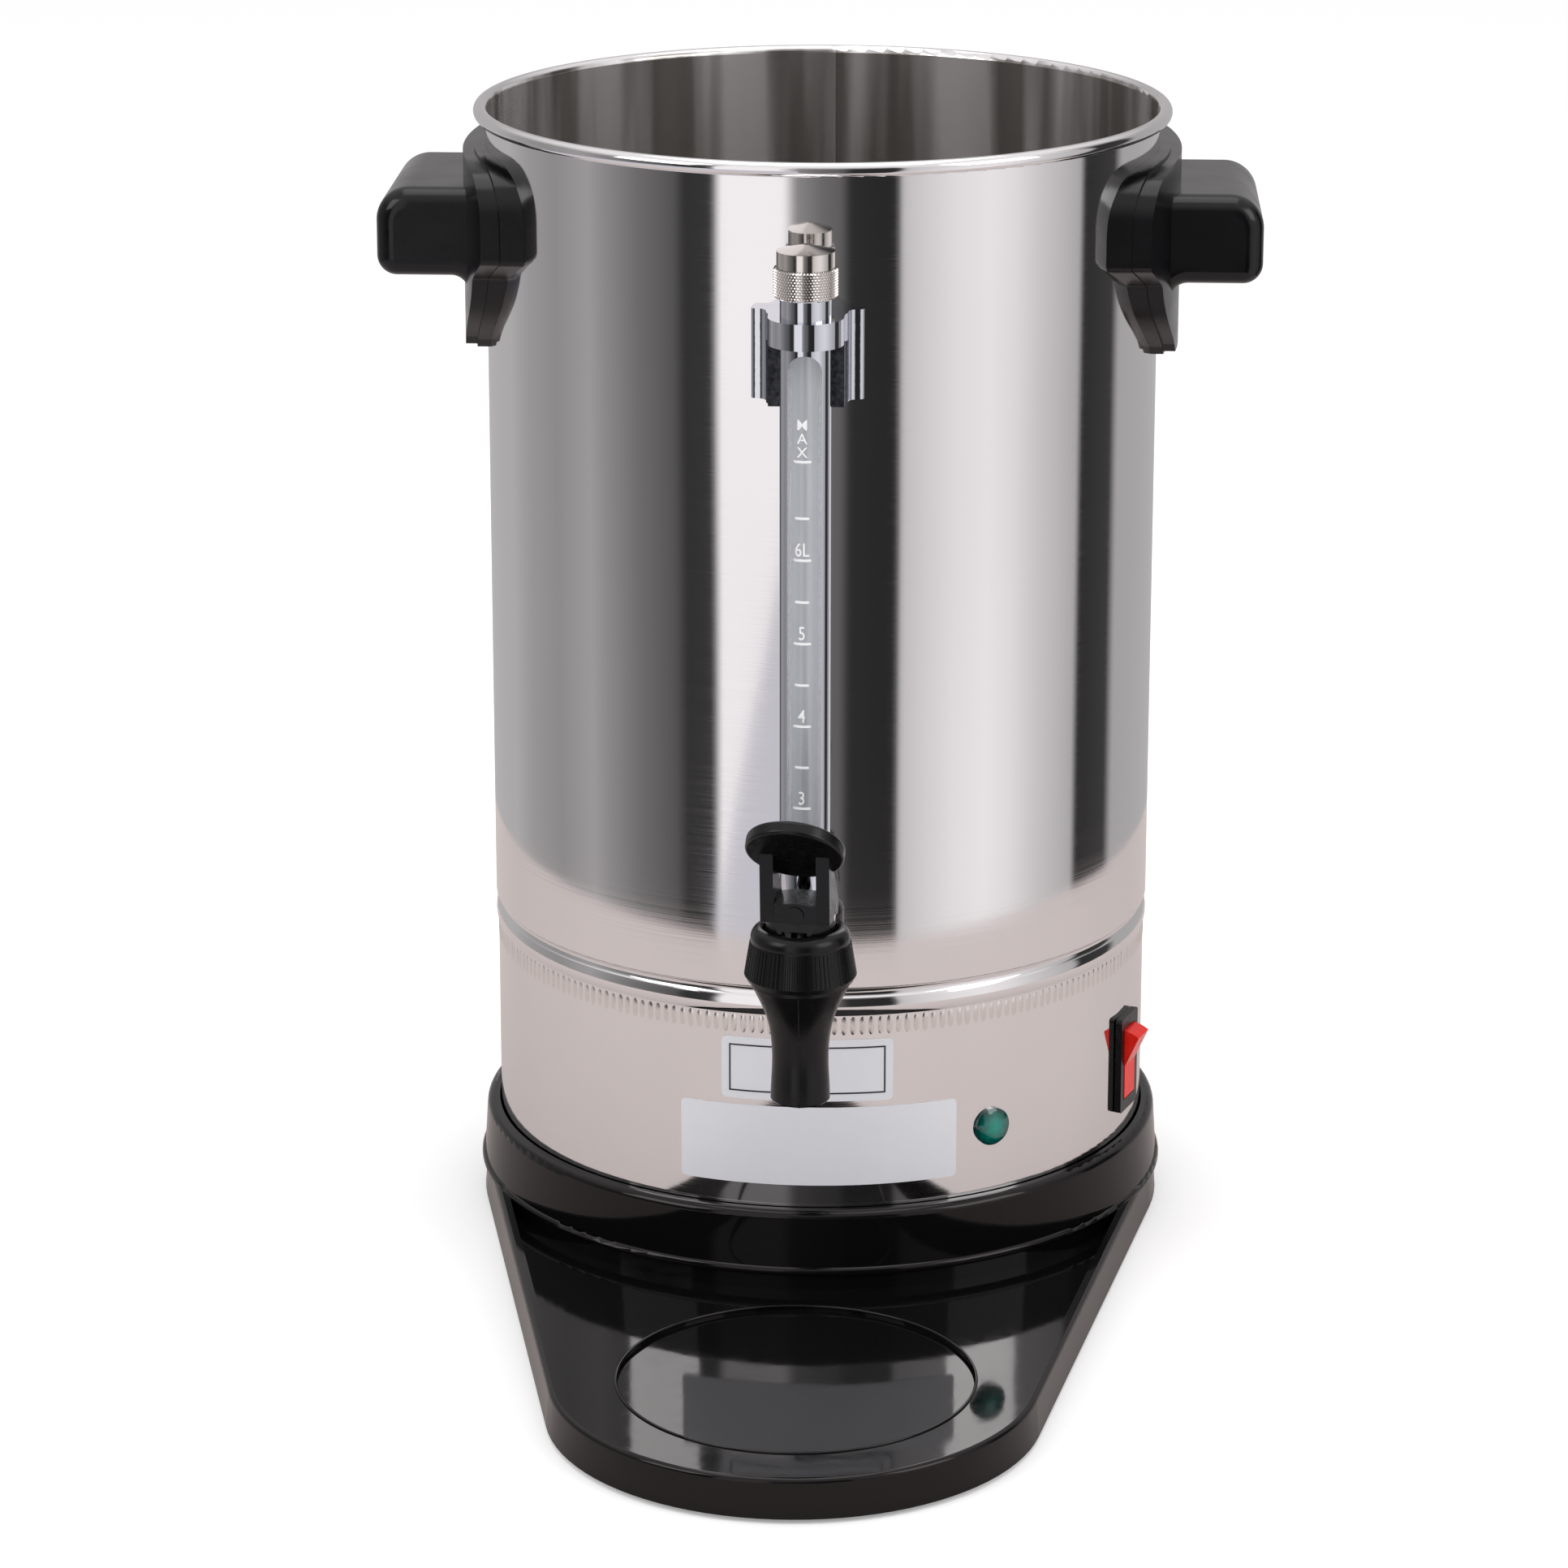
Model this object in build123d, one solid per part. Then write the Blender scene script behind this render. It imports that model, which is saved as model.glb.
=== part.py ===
from build123d import *
import os
from math import acos, cos, radians, sin, sqrt, tan

# Counter-top water boiler, in millimetres.  X runs across the two handles, Y from the
# tap (-Y) to the cord (+Y), Z up from the surface that the feet stand on.  Every piece is
# modelled about the axis of the steel vessel and moved back by AXIS_Y when it is written,
# which puts the origin under the middle of the whole object.

# ---- vessel ---------------------------------------------------------------------------
BODY_R = 110.0          # outer radius of the steel body
SHEET = 0.8             # thickness of the body sheet
SKIRT_STEP = 0.7        # the skirt below the groove is smaller by this, in radius
RIM_Z = 374.2           # height of the middle of the rolled rim
RIM_R = 2.3             # outer radius of the rolled rim
RIM_CURL = 290.0        # degrees of the roll
POT_FLOOR_Z = 100.0     # inside of the pot bottom beside the wall
POT_SHEET = 1.0
POT_FLANGE_H = 6.0      # turned-down edge that the seam weld holds
POT_DISH = 4.0          # the middle of the pot bottom lies lower by this
POT_DISH_RIM = 21.3     # from the dish to the wall
GROOVE_UP = 7.4         # middle of the groove above the pot floor
GROOVE_DEPTH = 1.4
GROOVE_HALF = 1.9       # half the height of the groove
BEAD_H = 6.0            # height of the rounded bead under the groove

# ---- base -----------------------------------------------------------------------------
FOOT_H = 2.5            # feet, from the ground to what they are fixed on
FOOT_R = 9.0
FOOT_ROUND = 1.0
FOOT_SOCKET = 1.5       # the seat above a front foot is wider by this, in radius
REAR_FOOT_IN = 25.2     # centre of a rear foot inside the collar's edge
FRONT_FOOT_IN = 35.0    # centre of a front foot inside the ledge's arc, sideways
FRONT_FOOT_AHEAD = 30.0
BASE_Z = 1.5            # lower edge of the base moulding
BASE_WALL = 3.0
COLLAR_W = 5.3          # width of the collar at its widest
COLLAR_TOP_Z = 34.0
COLLAR_DRAFT = 1.1      # how much the collar narrows to its top, in radius
COLLAR_GAP = 0.6        # between the steel skirt and the collar
COLLAR_ROUND = 2.6
SHELF_Z = 14.0          # shelf that the steel skirt stands on
SHELF_H = 3.0
SHELF_W = 6.0
LEDGE_OUT = 157.8       # reach of the ledge in front of the collar
LEDGE_R = 77.0          # radius of the front arc
LEDGE_TOP_Z = 14.0      # top of the rim round the cup ledge
LEDGE_RIM_W = 4.5
LEDGE_FLOOR_Z = 8.0
LEDGE_DRAFT = 0.9       # how far the ledge's side leans in to its top
LEDGE_ROUND = 1.6
BEAD_R = 1.6            # round bead along the foot of the collar
BEAD_SINK = 0.64        # middle of the bead inside the collar's edge
CUP_BACK = 11.0         # the cup stand's centre lies behind the front arc's by this
CUP_RIM = 21.0          # the cup stand is smaller than the front arc by this
CUP_DEPTH = 1.2
COVER_T = 2.0           # steel plate that closes the base
COVER_GAP = 0.5
COVER_BOSS_R = 5.0
VENT_PLACE = 60.0
VENT_L = 26.0
VENT_W = 4.0
VENTS = 8

# ---- heating --------------------------------------------------------------------------
PLATE_R = 75.0          # aluminium plate under the pot bottom
PLATE_T = 3.0
ELEMENT_R = 55.0        # middle of the heating ring
ELEMENT_W = 8.0
ELEMENT_H = 6.5
ELEMENT_ROUND = 2.5
ELEMENT_SWEEP = 320.0   # degrees
COLD_END_TURN = 4.0     # degrees that a cold end stands outside the ring's end
COLD_END_L = 14.0
COLD_END_R = 3.0
THERMOSTAT_R = 9.0
THERMOSTAT_H = 9.0
BLADE_W = 6.3           # blade terminals
BLADE_L = 8.0
BLADE_T = 0.8
BLADE_SPACING = 4.0     # of the thermostat's blades, from the middle
CUTOUT_R = 7.0
CUTOUT_H = 7.0
CUTOUT_X = 28.0
CUTOUT_PIN_R = 1.5
CUTOUT_PIN_L = 2.0
BLOCK_L = 34.0          # terminal block on the base cover
BLOCK_W = 20.0
BLOCK_H = 16.0
BLOCK_Y = 60.0
BLOCK_PITCH = 10.0
BLOCK_HOLE_R = 2.0
BLOCK_HOLE_UP = 6.4
BLOCK_SCREW_R = 1.8
BLOCK_SCREW_DEPTH = 6.4

# ---- tap, with distances in front of the body and heights about its shank ------------------
SHANK_UP = 17.0         # height of the shank above the pot floor
SHANK_R = 6.0
SHANK_BORE_R = 3.75
SHANK_INNER_L = 11.0    # length of the shank inside the pot
SHANK_ENGAGE = 5.5      # how far the shank goes into the tap
TURN_GAP = 0.1          # between the shank and what is screwed or slid onto it
SEAL_R = 7.6
SEAL_T = 2.5
NUT_FLATS = 19.0
NUT_T = 5.0
BOSS_R = 8.5            # inlet boss of the tap and barrel of the gauge socket
TEE_FRONT = 13.5        # the gauge socket's barrel ends this far in front of the gauge
TAP_OUT = 47.0          # tap axis in front of the body
OUTLET_DROP = 27.2      # lower end of the nozzle below the shank
OUTLET_R = 9.3
OUTLET_BEVEL = 0.6
OUTLET_BORE_R = 5.5
NOZZLE_WAIST_R = 8.8    # narrowest place of the nozzle
NOZZLE_WAIST_DROP = 12.5
NOZZLE_NECK_R = 10.6    # where the nozzle begins to flare, level with the shank
BARREL_R = 15.4         # widest radius of the tap body under the bonnet
BONNET_UP = 12.4        # lower edge of the bonnet above the shank
BARREL_EDGE = 1.5       # straight edge of the tap body below the bonnet
THREAD_R = 13.0
THREAD_TOP_GAP = 1.0    # between the end of the thread and the bonnet's roof
CHAMBER_R = 8.6
SEAT_DROP = 4.0         # valve seat below the shank
SEAT_LIP = 0.8
SEAT_RING = 1.6
BONNET_R = 17.2
BONNET_TOP_R = 15.4
BONNET_H = 17.3
BONNET_EDGE = 1.6       # straight lower edge of the bonnet
BONNET_CROWN = 4.6      # height of the round top of the bonnet
ROOF_DROP = 5.8         # underside of the bonnet's roof below its rim
PAD_DROP = 3.3          # pad that the lever's cam stands on, below the rim
PAD_R = 11.8
PAD_LIP = 0.7
RUN_GAP = 0.06          # radial play of a piece that turns or slides on another
STEM_R = 2.9
STEM_HEAD_R = 3.6
STEM_HEAD_H = 2.8       # of the head above the pin
STEM_NECK_H = 2.0       # of the thin stem above the pad
PIN_R = 1.5
CAM_REST = 6.5          # pin height above the pad at rest
CAM_LIFT = 3.0          # rise of the stem over the lever's travel
LEVER_TRAVEL = 35.0     # degrees
CAM_MARGIN = 2.0        # degrees that the cam goes on past the travel
LEVER_TURN = 9.0        # degrees that the lever is swung aside about the tap's axis
HUB_R = 11.0
HUB_TOP = 6.4           # top of the hub above the pin
HUB_ARCH_R = 24.0
HUB_FRONT = 8.7         # flat front of the hub ahead of the pin
HUB_BACK = 7.5
HUB_BEVEL = 1.5
HUB_SLOT = 8.0          # width of the slot round the stem
SLOT_ROOF = 4.9
FRONT_WALL_Y = 6.2      # inner face of the hub's front wall
NOTCH_TOP = 2.5         # notch in the front wall, below the pin
BOSS_DISC_R = 2.8       # round boss on the hub's front
BOSS_DISC_UP = 2.6
BOSS_DISC_T = 0.5
CHEEK_T = 4.2
CHEEK_X = 10.9          # outer face of each cheek
PADDLE_R = 15.35
PADDLE_T = 4.6
PADDLE_ROUND = 1.1
PADDLE_TILT = 44.0      # degrees above the horizontal, rising to the front
PADDLE_OUT = 10.0       # centre of the paddle in front of the pin
PADDLE_UP = 22.4        # and above it
PADDLE_DISC_R = 4.0     # low round boss in the middle of the underside
CUP_SEAL_R = 7.4        # rubber cup that closes the seat
CUP_SEAL_H = 8.7
CUP_LIP = 0.4
CUP_POCKET = 5.5
SPRING_R = 4.4
SPRING_WIRE = 0.45
SPRING_TURNS = 5

# ---- gauge, with heights above the shank or below the rim ----------------------------------
GAUGE_OUT = 17.0        # gauge axis in front of the body
NECK_R = 5.0
NECK_BORE_R = 2.2
NECK_FLARE = 4.0        # height of the flare under the socket
SOCKET_R = 7.9
SOCKET_WALL = 1.3
SOCKET_UP = 32.0        # floor of the socket above the shank
SOCKET_H = 6.5
COLLET_R = 12.4         # round nut that clamps the socket on the tee
COLLET_H = 14.0
COLLET_ROUND = 5.0
GLASS_R = 5.5
GLASS_WALL = 1.1
GLASS_SHORT = 2.0       # the glass ends this far below the guard's top
LOWER_SEAL_H = 5.0
UPPER_SEAL_H = 5.0
GUARD_R = 8.0
GUARD_WALL = 1.0
GUARD_GAP = 2.5         # between the socket and the guard
GUARD_DROP = 28.2       # top of the guard below the rim
SLOT_W = 10.5
SLOT_LOW = 5.0          # the slot begins this far above the guard's lower end
SLOT_DROP = 10.1        # and ends this far below the bracket's top
BRACKET_DROP = 42.9     # top of the bracket below the rim
BRACKET_H = 28.3
BAND_H = 8.3            # height of the front band of the bracket
BAND_R = 11.7
BAND_BACK = 2.0         # middle of the band's arc behind the gauge axis
WING_X = 17.4
WING_T = 3.4
WING_BULGE = 1.6
WING_VALLEY = 6.5
CAP_R = 9.6
CAP_PLAIN_R = 9.0
CAP_DROP = 8.0          # lower edge of the cap below the guard's top
CAP_KNURL_H = 9.0
CAP_BEVEL = 0.4
CAP_SIDE_H = 14.4       # straight side of the cap, above its lower edge
CAP_CONE_H = 1.9
CAP_VENT_R = 0.8
WASHER_T = 1.9
WASHER_HOLE_R = 4.0
WASHER_PLAY = 0.1

# ---- handles, with distances from the body and heights below the rim ---------------------
PAD_T = 3.5             # backing pad, in the middle
PAD_BOW = 30.0          # the pad's face is bent to a larger radius than the body by this
FLANGE_T = 3.5          # flange of the handle, in the middle
FLANGE_BOW = 30.0       # the flange's face is flatter still by this
FLANGE_INSET = 0.8      # the flange's outline lies inside the pad's by this
GRIP_OUT = 26.0         # outer face of the grip from the flange
GRIP_DROP = 21.7        # top of the grip below the rim
GRIP_H = 29.0
GRIP_HALF_L = 36.0
GRIP_TOP_ROUND = 11.0
GRIP_LOW_ROUND = 6.5
GRIP_END_ROUND = 6.0
GRIP_WALL = 5.0
GUSSET = 5.5            # round under the root of the grip
HEAD_DROP = 10.7        # top of the plates below the rim
HEAD_HALF = 60.0        # half the width of the plates at their broad head
HEAD_CORNER = 5.0
BROAD_DROP = 20.5       # broadest place below the top of the plates
SHOULDER_DROP = 30.5
WAIST_DROP = 38.0
WAIST_IN = 12.5         # the waist is narrower than the head by this, each side
TONGUE_DROP = 65.5
TONGUE_HALF = 25.0
PLATE_ROUND = 3.0
STUD_R = 2.5
STUD_NUT_FLATS = 8.0
STUD_NUT_T = 4.0
STUD_END = 2.0
STUD_WALL = 2.0         # what the stud's nut presses on, past the flange's face

# ---- switch and lamp ------------------------------------------------------------------
SWITCH_AT = 70.0        # degrees from the front, towards +X
SWITCH_Z = 60.0
BEZEL_W = 16.0
BEZEL_H = 33.0
BEZEL_T = 2.2
BEZEL_ROUND = 1.2
HOUSING_W = 13.0
HOUSING_H = 28.6
HOUSING_DEPTH = 17.0
WINDOW_W = 10.4
WELL_DEPTH = 10.0
BLADE_PITCH = 9.0
ROCKER_W = 9.8
ROCKER_R = 12.2         # radius of the rocker's ends about its pivot
ROCKER_FACE = 2.5       # middle of the rocker's face above its pivot
ROCKER_THROW = 12.0     # degrees to either side of the middle
ROCKER_GAP = 0.3
ROCKER_SINK = 2.2       # pivot behind the face of the bezel
ROCKER_AXLE_R = 1.5
ROCKER_AXLE_WALL = 0.6  # housing left outside each end of the axle
ROCKER_KEEL = 6.0
LAMP_AT = 32.8
LAMP_Z = 56.5
LAMP_R = 6.3
LAMP_DOME = 2.6
LAMP_EDGE = 0.9         # straight side of the lens
LAMP_BARREL_R = 5.0
LAMP_BARREL_L = 13.0
LAMP_NUT_R = 7.5
LAMP_NUT_T = 3.0

# ---- cord gland -----------------------------------------------------------------------
GLAND_Z = 58.0
GLAND_BORE_R = 3.7
GLAND_R = 7.5
GLAND_FLANGE_R = 10.5
GLAND_FLANGE_T = 2.5
GLAND_LIP = 1.8
GLAND_OUT = 14.0
GLAND_IN = 9.0
GLAND_NUT_R = 10.0
GLAND_NUT_T = 4.0

# ---- places that follow from the sizes above --------------------------------------------
SKIRT_R = BODY_R - SKIRT_STEP
BODY_IN = BODY_R - SHEET
SKIRT_IN = SKIRT_R - SHEET
GROOVE_Z = POT_FLOOR_Z + GROOVE_UP
POT_DISH_R = SKIRT_IN - POT_DISH_RIM
POT_UNDER_Z = POT_FLOOR_Z - POT_DISH - POT_SHEET
PLATE_UNDER_Z = POT_UNDER_Z - PLATE_T
COLLAR_R = SKIRT_R + COLLAR_GAP + COLLAR_W
LEDGE_Y = COLLAR_R + LEDGE_OUT - LEDGE_R
CUP_Y = LEDGE_Y - CUP_BACK
CUP_R = LEDGE_R - CUP_RIM
REAR_FOOT_PLACE = COLLAR_R - REAR_FOOT_IN
FRONT_FOOT_X = LEDGE_R - FRONT_FOOT_IN
FRONT_FOOT_Y = LEDGE_Y + FRONT_FOOT_AHEAD
COVER_TOP_Z = FOOT_H + COVER_T
FRONT_REACH = LEDGE_Y + LEDGE_R
BACK_REACH = SKIRT_R + GLAND_OUT
AXIS_Y = (FRONT_REACH - BACK_REACH) / 2
TAP_Y = BODY_R + TAP_OUT
TAP_Z = POT_FLOOR_Z + SHANK_UP
OUTLET_Z = TAP_Z - OUTLET_DROP
SEAT_Z = TAP_Z - SEAT_DROP
BONNET_Z = TAP_Z + BONNET_UP
BONNET_RIM_Z = BONNET_Z + BONNET_H
BONNET_ROOF_Z = BONNET_RIM_Z - ROOF_DROP
PAD_Z = BONNET_RIM_Z - PAD_DROP
PIN_Z = PAD_Z + CAM_REST
GAUGE_Y = BODY_R + GAUGE_OUT
TEE_FRONT_Y = GAUGE_Y + TEE_FRONT
SOCKET_FLOOR_Z = TAP_Z + SOCKET_UP
SOCKET_TOP_Z = SOCKET_FLOOR_Z + SOCKET_H
GUARD_BOTTOM_Z = SOCKET_TOP_Z + GUARD_GAP
GUARD_TOP_Z = RIM_Z - GUARD_DROP
GLASS_TOP_Z = GUARD_TOP_Z - GLASS_SHORT
BRACKET_TOP_Z = RIM_Z - BRACKET_DROP
SLOT_BOTTOM_Z = GUARD_BOTTOM_Z + SLOT_LOW
SLOT_TOP_Z = BRACKET_TOP_Z - SLOT_DROP
BAND_Y = GAUGE_Y - BAND_BACK
CAP_BOTTOM_Z = GUARD_TOP_Z - CAP_DROP
PAD_REACH = BODY_R + PAD_T
PAD_BOW_R = BODY_R + PAD_BOW
FLANGE_REACH = PAD_REACH + FLANGE_T
FLANGE_BOW_R = PAD_BOW_R + FLANGE_BOW
HANDLE_REACH = FLANGE_REACH + GRIP_OUT
HEAD_TOP_Z = RIM_Z - HEAD_DROP
HEAD_Z = HEAD_TOP_Z - BROAD_DROP
SHOULDER_Z = HEAD_TOP_Z - SHOULDER_DROP
WAIST_Z = HEAD_TOP_Z - WAIST_DROP
WAIST_HALF = HEAD_HALF - WAIST_IN
TONGUE_Z = HEAD_TOP_Z - TONGUE_DROP
GRIP_TOP_Z = RIM_Z - GRIP_DROP
GRIP_BOTTOM_Z = GRIP_TOP_Z - GRIP_H
STUD_Z = (GRIP_TOP_Z + GRIP_BOTTOM_Z) / 2
SWITCH_FACE = SKIRT_R + BEZEL_T         # outer face of the bezel from the vessel axis
PIVOT = SWITCH_FACE - ROCKER_SINK       # rocker pivot from the vessel axis
MIN = Align.MIN
MID = Align.CENTER
MAX = Align.MAX
UPRIGHT = (MID, MID, MIN)


def turned(outline):
    """Solid of revolution about the upright axis; outline holds (radius, height)."""
    return revolve(Plane.XZ * make_face(outline), Axis.Z)


def upright(radius, low, high, x=0.0, y=0.0):
    """Upright cylinder between two heights."""
    return Pos(x, y, low) * Cylinder(radius, high - low, align=UPRIGHT)


def lengthwise(radius, back, front, z):
    """Cylinder along Y between two distances in front of the vessel axis."""
    return Pos(0, -(back + front) / 2, z) * Rot(90, 0, 0) * Cylinder(radius, front - back)


def at_side(angle, part):
    """Turn a piece made at the front (-Y) to an angle towards +X."""
    return Rot(0, 0, angle) * part


def slab(outline, low, high):
    """Extrude a flat sketch between two heights."""
    return extrude(Pos(0, 0, low) * outline, high - low)


# ---- vessel ---------------------------------------------------------------------------
def body_shell():
    """Rolled and welded steel tube with a curled rim, a groove and a bead."""
    curl_x = BODY_IN + RIM_R
    end = radians(180 - RIM_CURL)
    groove_low = GROOVE_Z - GROOVE_HALF
    groove_high = GROOVE_Z + GROOVE_HALF
    bead_low = groove_low - BEAD_H
    bead_mid = groove_low - BEAD_H / 2
    wall_in = RIM_R - SHEET
    outer = Line((SKIRT_R, SHELF_Z), (SKIRT_R, bead_low))
    outer += ThreePointArc((SKIRT_R, bead_low), (BODY_R, bead_mid), (SKIRT_R, groove_low))
    outer += ThreePointArc((SKIRT_R, groove_low), (BODY_R - GROOVE_DEPTH, GROOVE_Z), (BODY_R, groove_high))
    outer += Line((BODY_R, groove_high), (BODY_R, RIM_Z))
    outer += CenterArc((curl_x, RIM_Z), wall_in, 180, -RIM_CURL)
    tip = (cos(end), sin(end))
    outer += Line((curl_x + wall_in * tip[0], RIM_Z + wall_in * tip[1]),
                  (curl_x + RIM_R * tip[0], RIM_Z + RIM_R * tip[1]))
    inner = CenterArc((curl_x, RIM_Z), RIM_R, 180 - RIM_CURL, RIM_CURL)
    inner += Line((BODY_IN, RIM_Z), (BODY_IN, groove_high))
    inner += ThreePointArc((BODY_IN, groove_high), (BODY_IN - GROOVE_DEPTH, GROOVE_Z), (SKIRT_IN, groove_low))
    inner += ThreePointArc((SKIRT_IN, groove_low), (BODY_IN, bead_mid), (SKIRT_IN, bead_low))
    inner += Line((SKIRT_IN, bead_low), (SKIRT_IN, SHELF_Z))
    inner += Line((SKIRT_IN, SHELF_Z), (SKIRT_R, SHELF_Z))
    shell = turned(outer + inner)
    shell -= lengthwise(SHANK_R + TURN_GAP, BODY_IN - 5, BODY_R + 5, TAP_Z)
    shell -= at_side(LAMP_AT, lengthwise(LAMP_BARREL_R, SKIRT_IN - 5, BODY_R + 5, LAMP_Z))
    shell -= at_side(180, lengthwise(GLAND_R, SKIRT_IN - 5, BODY_R + 5, GLAND_Z))
    cutout = Pos(0, -BODY_R, SWITCH_Z) * Box(HOUSING_W, 20, HOUSING_H)
    return shell - at_side(SWITCH_AT, cutout)


def pot_bottom():
    """Pressed bottom with a dished middle and a turned-down edge, seam-welded in."""
    top = POT_FLOOR_Z
    low = top - POT_DISH
    rise = POT_DISH * 1.5
    bend = POT_SHEET * 3
    edge = SKIRT_IN
    outline = Polyline((0, low), (POT_DISH_R, low), (POT_DISH_R + rise, top), (edge - bend, top))
    outline += RadiusArc((edge - bend, top), (edge, top - bend), bend)
    outline += Polyline((edge, top - bend), (edge, top - bend - POT_FLANGE_H),
                        (edge - POT_SHEET, top - bend - POT_FLANGE_H), (edge - POT_SHEET, top - bend))
    outline += RadiusArc((edge - POT_SHEET, top - bend), (edge - bend, top - POT_SHEET), -(bend - POT_SHEET))
    outline += Polyline((edge - bend, top - POT_SHEET), (POT_DISH_R + rise, top - POT_SHEET),
                        (POT_DISH_R, low - POT_SHEET), (0, low - POT_SHEET), (0, low))
    return turned(outline)


# ---- base -----------------------------------------------------------------------------
def ledge_outline(inset):
    """Plan of the base: the collar's circle and the front arc joined by two tangents."""
    lean = acos((COLLAR_R - LEDGE_R) / LEDGE_Y)
    back_r = COLLAR_R - inset
    front_r = LEDGE_R - inset
    back_x, back_y = back_r * sin(lean), -back_r * cos(lean)
    front_x, front_y = front_r * sin(lean), -LEDGE_Y - front_r * cos(lean)
    outline = Line((back_x, back_y), (front_x, front_y))
    outline += ThreePointArc((front_x, front_y), (0, -LEDGE_Y - front_r), (-front_x, front_y))
    outline += Line((-front_x, front_y), (-back_x, back_y))
    outline += ThreePointArc((-back_x, back_y), (0, back_r), (back_x, back_y))
    return make_face(outline)


def base_collar():
    """Upper moulding of the base: the collar that holds the skirt, with its shelf."""
    inner = SKIRT_R + COLLAR_GAP
    top_r = COLLAR_R - COLLAR_DRAFT
    shelf = SHELF_Z - SHELF_H
    wall = COLLAR_R - BASE_WALL - COVER_GAP
    outline = Polyline((inner, SHELF_Z), (inner, COLLAR_TOP_Z), (top_r - COLLAR_ROUND, COLLAR_TOP_Z))
    outline += RadiusArc((top_r - COLLAR_ROUND, COLLAR_TOP_Z), (top_r, COLLAR_TOP_Z - COLLAR_ROUND), COLLAR_ROUND)
    outline += Polyline((top_r, COLLAR_TOP_Z - COLLAR_ROUND), (COLLAR_R, LEDGE_TOP_Z), (wall, LEDGE_TOP_Z),
                        (wall, shelf), (inner - SHELF_W, shelf), (inner - SHELF_W, SHELF_Z), (inner, SHELF_Z))
    collar = turned(outline) - Pos(0, 0, LEDGE_TOP_Z) * Torus(COLLAR_R - BEAD_SINK, BEAD_R)
    for angle in (45, 135, 225, 315):
        boss = upright(COVER_BOSS_R, COVER_TOP_Z, SHELF_Z - SHELF_H / 2, y=-(SKIRT_R - COVER_BOSS_R))
        collar += Rot(0, 0, angle) * boss
    return collar


def base_ledge():
    """Lower moulding of the base: its outer wall, the bead under the collar and the cup ledge."""
    ledge = loft([Pos(0, 0, BASE_Z) * ledge_outline(0), Pos(0, 0, LEDGE_TOP_Z) * ledge_outline(LEDGE_DRAFT)])
    ledge = fillet(ledge.faces().sort_by(Axis.Z)[-1].edges(), LEDGE_ROUND)
    ledge -= slab(ledge_outline(LEDGE_RIM_W), LEDGE_FLOOR_Z, LEDGE_TOP_Z + 1)
    ledge -= slab(ledge_outline(BASE_WALL), 0, LEDGE_FLOOR_Z - BASE_WALL)
    ledge -= upright(CUP_R, LEDGE_FLOOR_Z - CUP_DEPTH, LEDGE_TOP_Z, y=-CUP_Y)
    wall = Circle(COLLAR_R - LEDGE_DRAFT) - Circle(COLLAR_R - BASE_WALL)
    ledge += slab(wall, LEDGE_FLOOR_Z - BASE_WALL, LEDGE_TOP_Z)
    ledge += Pos(0, 0, LEDGE_TOP_Z) * Torus(COLLAR_R - BEAD_SINK, BEAD_R)
    ledge -= upright(COLLAR_R - BASE_WALL, 0, 2 * LEDGE_TOP_Z)
    for side in (-1, 1):
        ledge += upright(FOOT_R + FOOT_SOCKET, FOOT_H, LEDGE_FLOOR_Z - BASE_WALL / 2, side * FRONT_FOOT_X, -FRONT_FOOT_Y)
    return ledge


def base_cover():
    """Round steel plate with vents that closes the base from below."""
    plate = upright(COLLAR_R - BASE_WALL - COVER_GAP, FOOT_H, COVER_TOP_Z)
    vent = SlotOverall(VENT_L, VENT_W)
    for index in range(VENTS):
        turn = Rot(0, 0, 360 * (index + 0.5) / VENTS)
        plate -= turn * Pos(VENT_PLACE, 0, 0) * extrude(vent, COVER_TOP_Z * 2)
    return plate


def foot(x, y):
    """Rubber foot with a rounded lower edge."""
    outline = Polyline((0, 0), (FOOT_R - FOOT_ROUND, 0), (FOOT_R, FOOT_ROUND), (FOOT_R, FOOT_H), (0, FOOT_H), (0, 0))
    return Pos(x, y, 0) * turned(outline)


# ---- heating --------------------------------------------------------------------------
def heater_plate():
    """Aluminium plate that spreads the heat under the pot bottom."""
    return upright(PLATE_R, PLATE_UNDER_Z, POT_UNDER_Z)


def heater_element():
    """Flattened heating ring with two cold ends turned down."""
    section = Pos(ELEMENT_R, PLATE_UNDER_Z - ELEMENT_H / 2) * RectangleRounded(ELEMENT_W, ELEMENT_H, ELEMENT_ROUND)
    ring = revolve(Plane.XZ * section, Axis.Z, ELEMENT_SWEEP)
    ring = Rot(0, 0, 90 + (360 - ELEMENT_SWEEP) / 2) * ring
    for side in (-1, 1):
        turn = radians(90 + side * ((360 - ELEMENT_SWEEP) / 2 + COLD_END_TURN))
        x, y = ELEMENT_R * cos(turn), ELEMENT_R * sin(turn)
        ring += upright(COLD_END_R, PLATE_UNDER_Z - COLD_END_L, PLATE_UNDER_Z - ELEMENT_H / 2, x, y)
    return ring


def thermostat():
    """Round thermostat clamped to the middle of the heater plate."""
    body = upright(THERMOSTAT_R, PLATE_UNDER_Z - THERMOSTAT_H, PLATE_UNDER_Z)
    for side in (-1, 1):
        blade = Box(BLADE_T, BLADE_W, BLADE_L, align=(MID, MID, MAX))
        body += Pos(side * BLADE_SPACING, 0, PLATE_UNDER_Z - THERMOSTAT_H + BLADE_T) * blade
    return body


def thermal_cutout():
    """Boil-dry cut-out beside the thermostat."""
    low = PLATE_UNDER_Z - CUTOUT_H
    return upright(CUTOUT_R, low, PLATE_UNDER_Z, x=CUTOUT_X) + upright(CUTOUT_PIN_R, low - CUTOUT_PIN_L, low, x=CUTOUT_X)


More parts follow.
